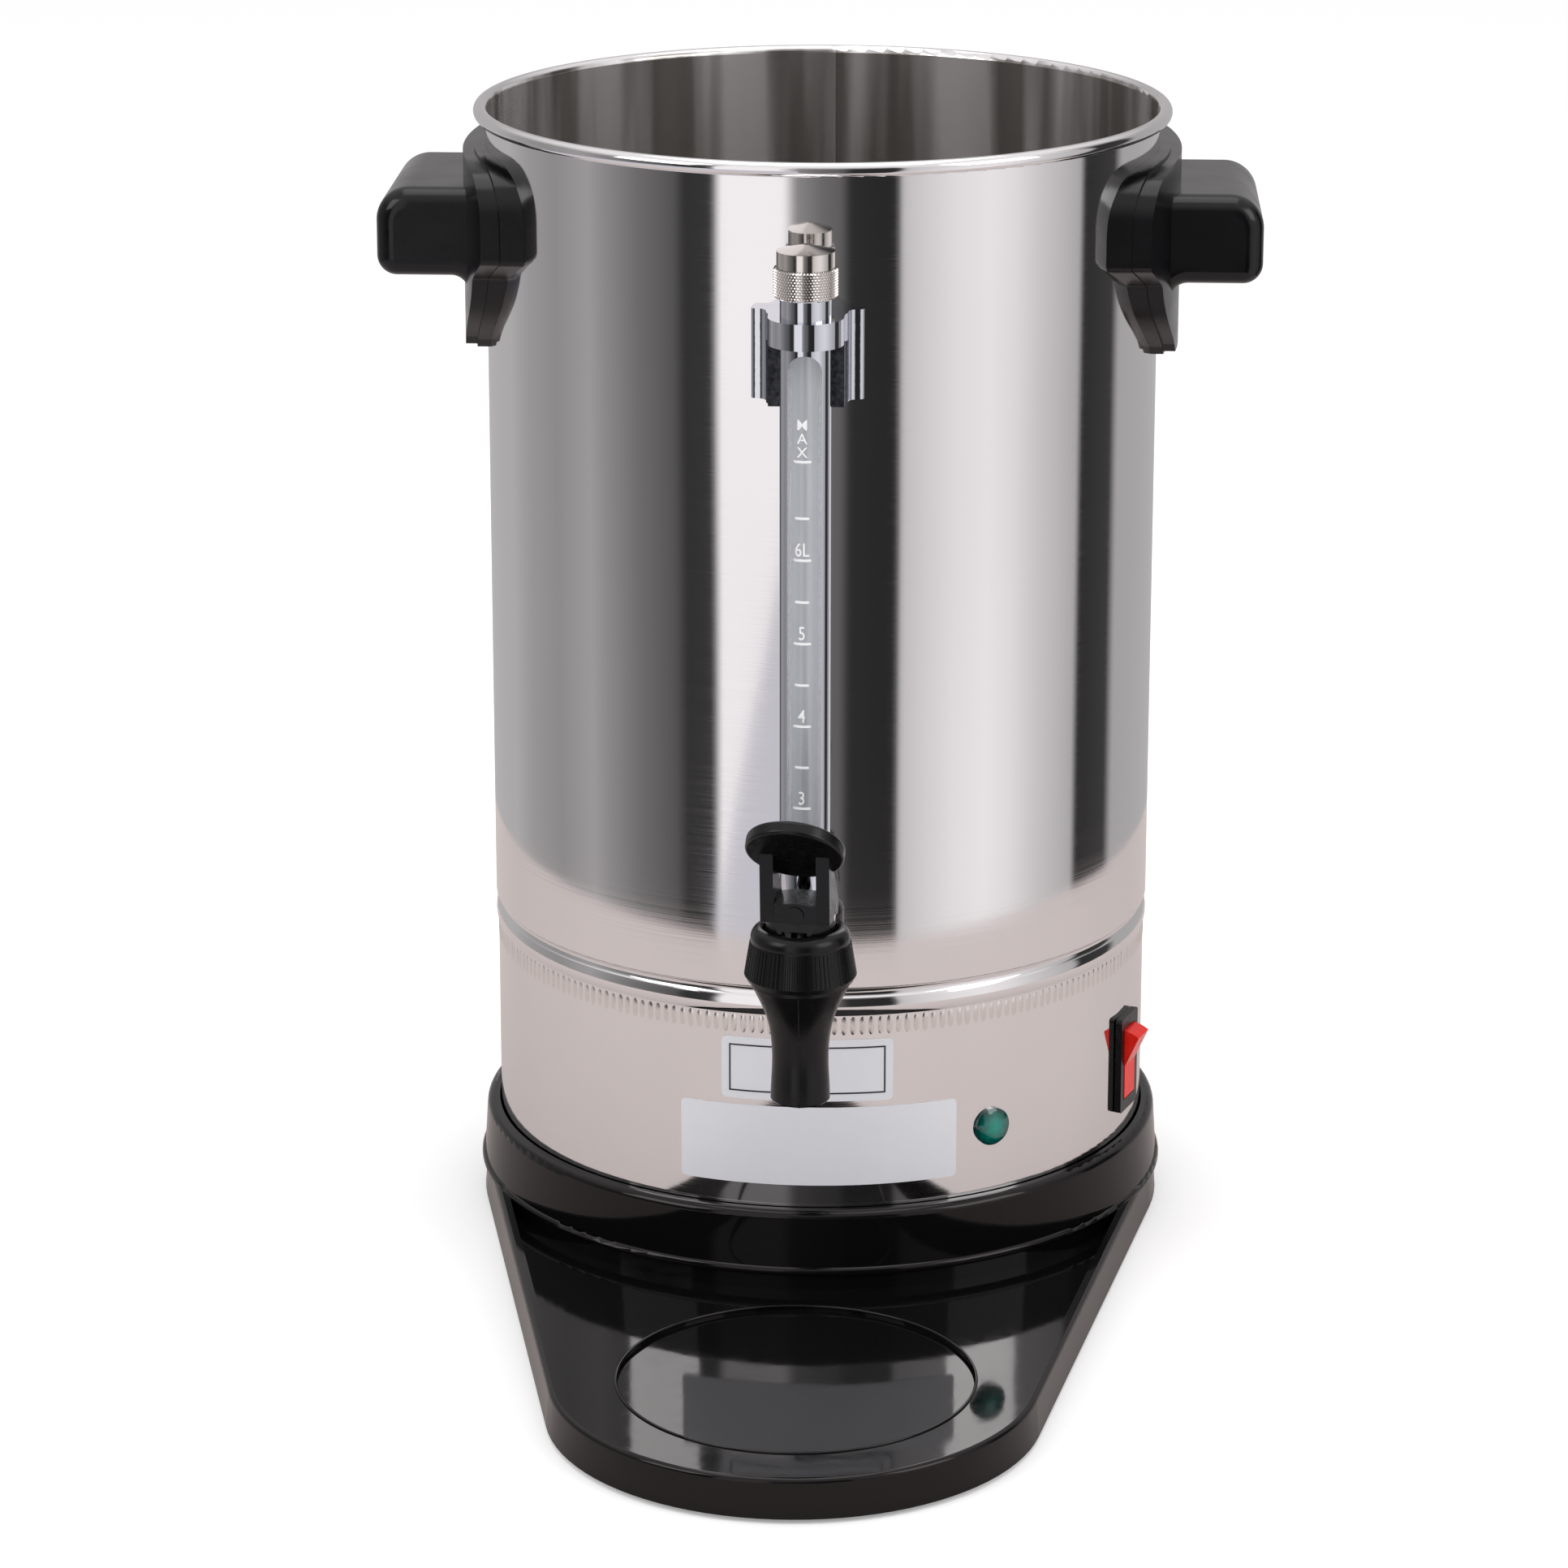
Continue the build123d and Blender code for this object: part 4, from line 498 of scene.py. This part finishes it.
rubber, tree, shader = material("foot_rubber", (0.02, 0.02, 0.02), 0.8)
grain(tree, shader, noise(tree, 1800.0), 0.0002)
dress(rubber, "foot_front_left", "foot_front_right", "foot_rear_left", "foot_rear_right")
dress(rubber, "shank_seal_outer", "shank_seal_inner", "seat_cup")
dress(rubber, "gauge_seal_lower", "gauge_seal_upper", "gauge_cap_washer")
zinc, tree, shader = material("zinc_plate", (0.55, 0.56, 0.57), 0.35, 1.0)
spangle = noise(tree, 170.0)
tint(tree, shader, spangle, (0.44, 0.46, 0.47), (0.62, 0.63, 0.62))
sheen(tree, shader, spangle, 0.26, 0.42)
dress(zinc, "base_cover")

SCREW_R = 0.0034
SCREW_PROUD = 0.0009
SCREW_SIDES = 20
SCREW_RINGS = ((0.55, 1.0), (0.85, 0.7), (1.0, 0.0))    # shares of its radius and its height
SCREW_IN = 0.005                     # the screws stand this far inside the skirt
COVER_SCREWS = 4
screw_corners = [(0, 0, -SCREW_PROUD)]
for out, proud in SCREW_RINGS:
    for k in range(SCREW_SIDES):
        turn = math.tau * k / SCREW_SIDES
        east, north = out * SCREW_R * math.cos(turn), out * SCREW_R * math.sin(turn)
        screw_corners.append((east, north, -proud * SCREW_PROUD))
screw_faces = [(0, 1 + (k + 1) % SCREW_SIDES, 1 + k) for k in range(SCREW_SIDES)]
for band in range(len(SCREW_RINGS) - 1):
    first = 1 + band * SCREW_SIDES
    below = first + SCREW_SIDES
    for k in range(SCREW_SIDES):
        after = (k + 1) % SCREW_SIDES
        screw_faces.append((first + k, first + after, below + after, below + k))
screw_faces.append([1 + 2 * SCREW_SIDES + k for k in range(SCREW_SIDES)])
screw = stud_mesh("cover_screw_one", screw_corners, screw_faces)
cover_screws = studs_round("cover_screws", screw, zinc, (0, AXIS_Y, 0), rows=1,
                           per_row=COVER_SCREWS, radius=skirt_r - SCREW_IN,
                           first_height=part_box("base_cover")[0].z, start=math.pi / 4)
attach(cover_screws, "urn")

# ---------------------------------------------------------------------------------------
# Heating parts under the pot.  An aluminium plate pressed on the bottom carries the ring
# element; thermostat, cut-out and terminal block are moulded pieces clipped to it.
# ---------------------------------------------------------------------------------------
aluminium, tree, shader = material("rolled_aluminium", (0.74, 0.74, 0.75), 0.35, 1.0)
sheen(tree, shader, noise(tree, 40.0, 3.0, (1.0, 30.0, 1.0)), 0.28, 0.42)
dress(aluminium, "heater_plate", "thermostat")
heated, tree, shader = material("heated_steel", (0.38, 0.35, 0.32), 0.4, 1.0)
tint(tree, shader, noise(tree, 45.0), (0.30, 0.24, 0.20), (0.46, 0.43, 0.42))
dress(heated, "heater_element")
bakelite, tree, shader = material("brown_bakelite", (0.15, 0.07, 0.04), 0.5)
tint(tree, shader, noise(tree, 400.0), (0.11, 0.05, 0.03), (0.18, 0.09, 0.05))
dress(bakelite, "thermal_cutout")
ceramic, tree, shader = material("white_block", (0.82, 0.81, 0.77), 0.5)
tint(tree, shader, noise(tree, 300.0), (0.76, 0.75, 0.71), (0.84, 0.83, 0.79))
dress(ceramic, "terminal_block")

# ---------------------------------------------------------------------------------------
# Tap.  Black moulded body and screwed bonnet on a chromed shank, sealed to the wall with
# rubber.  The bonnet is ribbed for the fingers; a spring shuts the rubber cup on its seat.
# ---------------------------------------------------------------------------------------
black, tree, shader = material("tap_black", BLACK, 0.26, Specular_IOR_Level=0.3)
sheen(tree, shader, noise(tree, 260.0), 0.2, 0.3)
grain(tree, shader, noise(tree, 2200.0), 0.000012)
dress(black, "tap_body", "tap_bonnet", "tap_lever", "gauge_collet")
dress(black, "switch_housing", "lamp_nut", "cord_gland", "gland_nut")
CHROME = (0.70, 0.72, 0.78)
chrome, tree, shader = material("chrome", CHROME, 0.05, 1.0)
sheen(tree, shader, noise(tree, 320.0), 0.03, 0.08)
tint(tree, shader, noise(tree, 70.0), (0.66, 0.69, 0.76), (0.74, 0.76, 0.80))
dress(chrome, "gauge_tee", "tap_shank", "shank_nut", "tap_stem", "lever_pin")

spring = stand("valve_spring", nodes["tap_spring"].data.copy())
spring.data.materials.clear()
spring.data.materials.append(chrome)
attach(spring, "urn")
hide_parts("tap_spring")
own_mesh(spring)

bonnet_low, bonnet_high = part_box("tap_bonnet")
TAP_Y = (bonnet_low.y + bonnet_high.y) / 2
BONNET_RIBS = 72
RIB_W = 0.00078
RIB_PROUD = 0.00028
RIB_SECTION = ((-1, -1.0), (0, -1.0), (1, -0.45), (1, 0.45), (0, 1.0), (-1, 1.0))
RIB_FOOT = bonnet_low.z + 0.0016
RIB_HEAD = bonnet_high.z - 0.0052
CONE_HEAD = bonnet_high.z - 0.0046   # where the bonnet's cone ends
foot_r = reach("tap_bonnet", bonnet_low.z, RIB_FOOT + 0.0002, TAP_Y)
head_r = reach("tap_bonnet", CONE_HEAD - 0.0001, CONE_HEAD + 0.0002, TAP_Y)
lean = (head_r - foot_r) / (CONE_HEAD - RIB_FOOT) * (RIB_HEAD - RIB_FOOT)
rib_corners = []
for rise, back in ((0.0, 0.0), (RIB_HEAD - RIB_FOOT, lean)):
    for proud, side in RIB_SECTION:
        rib_corners.append((back + proud * RIB_PROUD, side * RIB_W / 2, rise))
sides = len(RIB_SECTION)
rib_faces = []
for k in range(sides):
    after = (k + 1) % sides
    rib_faces.append((k, after, sides + after, sides + k))
rib_faces.append(tuple(reversed(range(sides))))
rib_faces.append(tuple(range(sides, 2 * sides)))
rib = stud_mesh("bonnet_rib_one", rib_corners, rib_faces)
ribs = studs_round("bonnet_ribs", rib, black, (0, TAP_Y, 0), rows=1, per_row=BONNET_RIBS,
                   radius=foot_r, first_height=RIB_FOOT)
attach(ribs, "urn")

PART_LINE_R = 0.00022
PART_LINE_W = 0.0004                 # corners of the nozzle this near its middle lie on the line,
BELOW_BONNET = 0.001                 # where they are this far below the bonnet
NOZZLE_OUT = 0.007                   # and this far in front of the tap's axis
front = {}
for vertex in nodes["tap_body"].data.vertices:
    corner = vertex.co
    if abs(corner.x) < PART_LINE_W and corner.z < bonnet_low.z - BELOW_BONNET:
        level = round(corner.z, 4)
        front[level] = min(front.get(level, TAP_Y), corner.y)
edge = [(0, y, z) for z, y in sorted(front.items()) if y < TAP_Y - NOZZLE_OUT]
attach(bead_along("nozzle_parting_line", edge, PART_LINE_R, black), "urn")

# ---------------------------------------------------------------------------------------
# Level gauge.  A glass tube with a printed litre scale stands in a slotted chrome guard,
# between the tee on the tap's shank and a knurled nickel cap; a cast bracket holds it off.
# ---------------------------------------------------------------------------------------
guard_low, guard_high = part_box("gauge_guard")
GUARD_Y = (guard_low.y + guard_high.y) / 2
GUARD_WALL = 0.0008
bore_r = (guard_high.x - guard_low.x) / 2 - GUARD_WALL / 2
tube, tree, shader = material("guard_chrome", CHROME, 0.05, 1.0)
raw = math_node(tree, "LESS_THAN", off_axis(tree, GUARD_Y), bore_r)
raw_rough = wire(tree, "ShaderNodeMapRange", {0: raw, 3: 0.05, 4: 0.3}).outputs[0]
raw_metal = wire(tree, "ShaderNodeMapRange", {0: raw, 3: 1.0, 4: 0.2}).outputs[0]
tree.links.new(raw_rough, shader.inputs["Roughness"])
tree.links.new(raw_metal, shader.inputs["Metallic"])
# Painted light: the bore is coloured near-white, standing in for the brightness seen through the
# slot; its rougher, less metallic surface is the raw metal.
tint(tree, shader, raw, CHROME, (0.95, 0.94, 0.98))
dress(tube, "gauge_guard")

SHADE_REACH = 0.0127                  # the painted shade on the casting's rough faces lies this near its middle and starts this far below its top
SHADE_DROP = 0.0085                   # and start this far below its top
PAINTED_SHADE_DARK = (0.028, 0.030, 0.034)
bracket_finish, tree, shader = material("chromed_bracket", CHROME, 0.05, 1.0)
shade_speckle = spread(tree, noise(tree, 700.0), 0.9, 1.0)
place = wire(tree, "ShaderNodeSeparateXYZ", {0: wire(tree, "ShaderNodeTexCoord").outputs["Object"]})
east, north, up = place.outputs
inward = math_node(tree, "LESS_THAN", math_node(tree, "ABSOLUTE", east), SHADE_REACH)
under = math_node(tree, "LESS_THAN", up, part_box("gauge_bracket")[1].z - SHADE_DROP)
# Painted shade: the faces next to the guard are coloured near-black; their raised roughness is the
# casting's own.
dark = math_node(tree, "MULTIPLY", math_node(tree, "MULTIPLY", inward, under), shade_speckle)
tint(tree, shader, dark, CHROME, PAINTED_SHADE_DARK)
tree.links.new(math_node(tree, "MULTIPLY_ADD", dark, 0.4, 0.05), shader.inputs["Roughness"])
dress(bracket_finish, "gauge_bracket")

NICKEL = (0.80, 0.76, 0.72)
nickel, tree, shader = material("warm_nickel", NICKEL, 0.12, 1.0)
sheen(tree, shader, noise(tree, 30.0, 3.0, (1.0, 1.0, 60.0)), 0.07, 0.15)
dress(nickel, "gauge_cap")
glass, tree, shader = material("gauge_glass", (0.97, 0.99, 0.99), 0.0,
                               Transmission_Weight=1.0, IOR=1.4)
sheen(tree, shader, noise(tree, 500.0), 0.0, 0.03)
light = wire(tree, "ShaderNodeLightPath").outputs
passing = math_node(tree, "MAXIMUM", light["Is Shadow Ray"], light["Is Diffuse Ray"])
open_air = wire(tree, "ShaderNodeBsdfTransparent").outputs[0]
let_by = wire(tree, "ShaderNodeMixShader", {0: passing, 1: shader.outputs[0], 2: open_air})
tree.links.new(let_by.outputs[0], tree.nodes["Material Output"].inputs["Surface"])
dress(glass, "gauge_glass")

cap_low, cap_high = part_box("gauge_cap")
GAUGE_Y = (cap_low.y + cap_high.y) / 2
CAP_R = (cap_high.x - cap_low.x) / 2
KNURL_ROWS = 10
KNURLS = 60
KNURL_DEEP = 0.00052
KNURL_SUNK = 0.0001                  # the diamonds' feet lie this far below the cap's side
KNURL_FOOT = cap_low.z + 0.0010
KNURL_BAND = 0.0076
knurl_step = KNURL_BAND / (KNURL_ROWS - 1)
knurl_w = math.tau * CAP_R / KNURLS / 2
knurled, tree, shader = material("knurled_nickel", NICKEL, 0.2, 1.0)
# Painted shade in the hollows between the diamonds and a painted highlight on their crests, by
# distance from the cap's axis.
crest_light_and_hollow_shade = wire(tree, "ShaderNodeMapRange", {
    0: off_axis(tree, GAUGE_Y),
    1: CAP_R - KNURL_SUNK,
    2: CAP_R + 0.0003,
})
tint(tree, shader, crest_light_and_hollow_shade.outputs[0], (0.10, 0.09, 0.08), (0.95, 0.91, 0.88))
diamond_corners = [
    (KNURL_DEEP, 0, 0), (0, -knurl_w, 0), (0, 0, knurl_step), (0, knurl_w, 0), (0, 0, -knurl_step),
]
diamond_faces = [(0, 2, 1), (0, 3, 2), (0, 4, 3), (0, 1, 4), (1, 2, 3, 4)]
diamond = stud_mesh("cap_knurl_one", diamond_corners, diamond_faces)
knurl = studs_round("cap_knurl", diamond, knurled, (0, GAUGE_Y, 0), rows=KNURL_ROWS,
                    per_row=KNURLS, radius=CAP_R - KNURL_SUNK, first_height=KNURL_FOOT,
                    row_pitch=knurl_step, stagger=0.5)
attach(knurl, "urn")

glass_low, glass_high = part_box("gauge_glass")
GLASS_R = (glass_high.x - glass_low.x) / 2
PRINT_T = 0.00004
PRINT_LIFT = 0.00001                 # keeps the print clear of the glass
PRINT_LEFT = -0.0008                 # the print was rolled on a little to the left of the slot
LITRE = 0.02664                      # rise of the water for one litre
FIRST_LITRE = 3
FIRST_MARK_Z = 0.1765
HALF_LITRES = 8
MAX_MARK_Z = 0.2876
LONG_TICK = 0.0058
SHORT_TICK = 0.0045
TICK_W = 0.0008
TICK_STEPS = 8
STROKE = 0.00002                     # the letters' strokes are this much fuller on each side
NUMERAL_SIZE = 0.0061
NUMERAL_OVER = 0.0013                # height of its feet over its mark
NUMERAL_NARROW = 0.80
LETTER_SIZE = 0.0047
LETTER_OVER = 0.0014
LETTER_PITCH = 0.0043
white_ink, tree, shader = material("white_ink", (0.92, 0.92, 0.93), 0.4)
tint(tree, shader, noise(tree, 2500.0), (0.84, 0.84, 0.86), (0.95, 0.95, 0.95))


def on_glass(mesh):
    """Wrap a flat print, drawn in X and Z about the middle of the slot, round the glass."""
    for vertex in mesh.vertices:
        across, proud, height = vertex.co
        turn = (across + PRINT_LEFT) / GLASS_R
        radius = GLASS_R + PRINT_LIFT + proud
        vertex.co = (radius * math.sin(turn), GAUGE_Y - radius * math.cos(turn), height)


def lettering(name, words, size, low, narrow):
    """Numeral or letter in raised print; its feet stand at height low."""
    text = bpy.data.curves.new(name, "FONT")
    text.body = words
    text.size = size
    text.extrude = PRINT_T / 2
    text.offset = STROKE
    text.align_x = "CENTER"
    text.resolution_u = 3
    made = plain(bpy.data.objects.new(name, text), white_ink)
    for vertex in made.data.vertices:
        x, y, z = vertex.co
        vertex.co = (x * narrow, PRINT_T / 2 + z, y + low)
    on_glass(made.data)
    return made


def tick(name, length, height):
    """Printed line across the glass at one height."""
    low, high = height - TICK_W / 2, height + TICK_W / 2
    corners = []
    faces = []
    for k in range(TICK_STEPS + 1):
        x = length * (k / TICK_STEPS - 0.5)
        corners += [(x, 0.0, low), (x, PRINT_T, low), (x, PRINT_T, high), (x, 0.0, high)]
        if k:
            last, here = 4 * (k - 1), 4 * k
            for e in range(4):
                after = (e + 1) % 4
                faces.append((last + e, last + after, here + after, here + e))
    end = 4 * TICK_STEPS
    faces += [(3, 2, 1, 0), (end, end + 1, end + 2, end + 3)]
    mesh = bpy.data.meshes.new(name)
    mesh.from_pydata(corners, [], faces)
    mesh.materials.append(white_ink)
    on_glass(mesh)
    return stand(name, mesh)


prints = []
for half in range(HALF_LITRES):
    mark_z = FIRST_MARK_Z + half * LITRE / 2
    litre, rest = divmod(2 * FIRST_LITRE + half, 2)
    name = f"mark_{litre}_{5 * rest}"
    prints.append(tick(name, SHORT_TICK if rest else LONG_TICK, mark_z))
    if not rest:
        words = f"{litre}L" if litre == 6 else str(litre)
        prints.append(lettering(f"numeral_{litre}", words, NUMERAL_SIZE, mark_z + NUMERAL_OVER,
                                NUMERAL_NARROW))
prints.append(tick("mark_full", LONG_TICK, MAX_MARK_Z))
for row, letter in enumerate("XAM"):
    feet_z = MAX_MARK_Z + LETTER_OVER + row * LETTER_PITCH
    prints.append(lettering(f"full_{letter}", letter, LETTER_SIZE, feet_z, 1.0))
for printed in prints:
    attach(printed, "urn")

# ---------------------------------------------------------------------------------------
# Handles.  Phenolic mouldings with a fine satin grain, each drawn by one stud and nut
# against a curved pad of the same black on the vessel's wall.
# ---------------------------------------------------------------------------------------
satin, tree, shader = material("satin_black", (0.003, 0.003, 0.0035), 0.2, Specular_IOR_Level=0.34)
smear = noise(tree, 55.0, 4.0, (1.0, 1.0, 2.2))
sheen(tree, shader, smear, 0.12, 0.24)
tint(tree, shader, smear, (0.002, 0.002, 0.0025), (0.005, 0.005, 0.006))
grain(tree, shader, noise(tree, 1500.0), 0.000014)
dress(satin, "handle_left", "handle_right", "handle_pad_left", "handle_pad_right")
dress(zinc, "handle_stud_left", "handle_stud_right", "handle_nut_left", "handle_nut_right")

# ---------------------------------------------------------------------------------------
# Switch and lamp.  A clear red rocker in a black snap-in housing, and a green faceted lens,
# with painted light in its middle and painted shade darkest at its rim, that a nut holds from
# inside the skirt.
# ---------------------------------------------------------------------------------------
red, tree, shader = material("rocker_red", (0.80, 0.012, 0.008), 0.14, Specular_IOR_Level=0.3)
tint(tree, shader, noise(tree, 260.0), (0.66, 0.006, 0.004), (0.88, 0.028, 0.014))
dress(red, "switch_rocker")

LENS_R = 0.0063
FACETS = 600.0                       # facets to the metre
FACET_SHADE = 0.0016                 # how far one facet shifts the painted shade
LENS_LIT_MIDDLE = (0.0, 0.25, 0.19)
LENS_SHADED_RIM = (0.0, 0.045, 0.038)


def from_axis(corner):
    """Level distance of a corner from the vessel's axis."""
    return math.hypot(corner.x, corner.y - AXIS_Y)


green, tree, shader = material("lens_green", (0.0, 0.17, 0.12), 0.06, Coat_Weight=0.6)
# Painted light: bright in the lens's middle, with painted shade towards its rim and from facet to
# facet.
crown = max((v.co for v in nodes["pilot_lamp"].data.vertices), key=from_axis)
place = wire(tree, "ShaderNodeTexCoord").outputs["Object"]
off_crown = wire(tree, "ShaderNodeVectorMath", {0: place, 1: tuple(crown)}, operation="DISTANCE")
cells = {"Vector": place, "Scale": FACETS}
facets = wire(tree, "ShaderNodeTexVoronoi", cells, feature="F1").outputs[0]
shade = math_node(tree, "MULTIPLY_ADD", facets, FACET_SHADE, off_crown.outputs["Value"])
depth = wire(tree, "ShaderNodeMapRange", {0: shade, 1: 0.3 * LENS_R, 2: 1.1 * LENS_R}).outputs[0]
tint(tree, shader, depth, LENS_LIT_MIDDLE, LENS_SHADED_RIM)
grain(tree, shader, facets, 0.00005)
dress(green, "pilot_lamp")

# ---------------------------------------------------------------------------------------
# Label plates.  Two thin white films with round corners, bent to the skirt and left blank,
# the upper one with a printed border.
# ---------------------------------------------------------------------------------------
UPPER = (-14.6, 14.6, 0.0705, 0.0915)    # from and to, in degrees from the front, and heights
LOWER = (-22.0, 26.0, 0.0416, 0.0683)
FILM_T = 0.00012
FILM_LIFT = 0.00002                  # keeps the film clear of the steel
CORNER_R = 0.0016
BORDER_IN = 0.0025
BORDER_W = 0.0005
FILM_STEPS = 40
film, tree, shader = material("label_film", (0.80, 0.80, 0.84), 0.28)
tint(tree, shader, noise(tree, 90.0), (0.78, 0.78, 0.82), (0.82, 0.82, 0.86))
ink, tree, shader = material("label_ink", (0.02, 0.02, 0.025), 0.35)
tint(tree, shader, noise(tree, 900.0), (0.015, 0.015, 0.02), (0.03, 0.03, 0.035))


def bent_plate(name, finish, left, right, low, high, lift, corner=0.0):
    """Film bent round the skirt between two bearings (degrees from the front) and heights."""
    corners = []
    faces = []
    wide = math.radians(right - left) * skirt_r
    for k in range(FILM_STEPS + 1):
        share = (1 - math.cos(math.pi * k / FILM_STEPS)) / 2
        turn = math.radians(left + (right - left) * share)
        into = max(0.0, corner - min(share, 1 - share) * wide)
        cut = corner - math.sqrt(max(0.0, corner * corner - into * into))
        for radius in (skirt_r + lift, skirt_r + lift + FILM_T):
            for z in (low + cut, high - cut):
                corners.append((radius * math.sin(turn), AXIS_Y - radius * math.cos(turn), z))
        if k:
            last, here = 4 * (k - 1), 4 * k
            for a, b in ((2, 3), (1, 0), (0, 2), (3, 1)):
                faces.append((last + a, here + a, here + b, last + b))
    end = 4 * FILM_STEPS
    faces += [(0, 2, 3, 1), (end, end + 1, end + 3, end + 2)]
    mesh = bpy.data.meshes.new(name)
    mesh.from_pydata(corners, [], faces)
    mesh.materials.append(finish)
    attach(stand(name, mesh), "urn")


bent_plate("upper_plate", film, *UPPER, lift=FILM_LIFT, corner=CORNER_R)
bent_plate("lower_plate", film, *LOWER, lift=FILM_LIFT, corner=CORNER_R)
inset = math.degrees(BORDER_IN / skirt_r)
line = math.degrees(BORDER_W / skirt_r)
left, right = UPPER[0] + inset, UPPER[1] - inset
low, high = UPPER[2] + BORDER_IN, UPPER[3] - BORDER_IN
bent_plate("border_top", ink, left, right, high - BORDER_W, high, FILM_T)
bent_plate("border_foot", ink, left, right, low, low + BORDER_W, FILM_T)
bent_plate("border_left", ink, left, left + line, low + BORDER_W, high - BORDER_W, FILM_T)
bent_plate("border_right", ink, right - line, right, low + BORDER_W, high - BORDER_W, FILM_T)
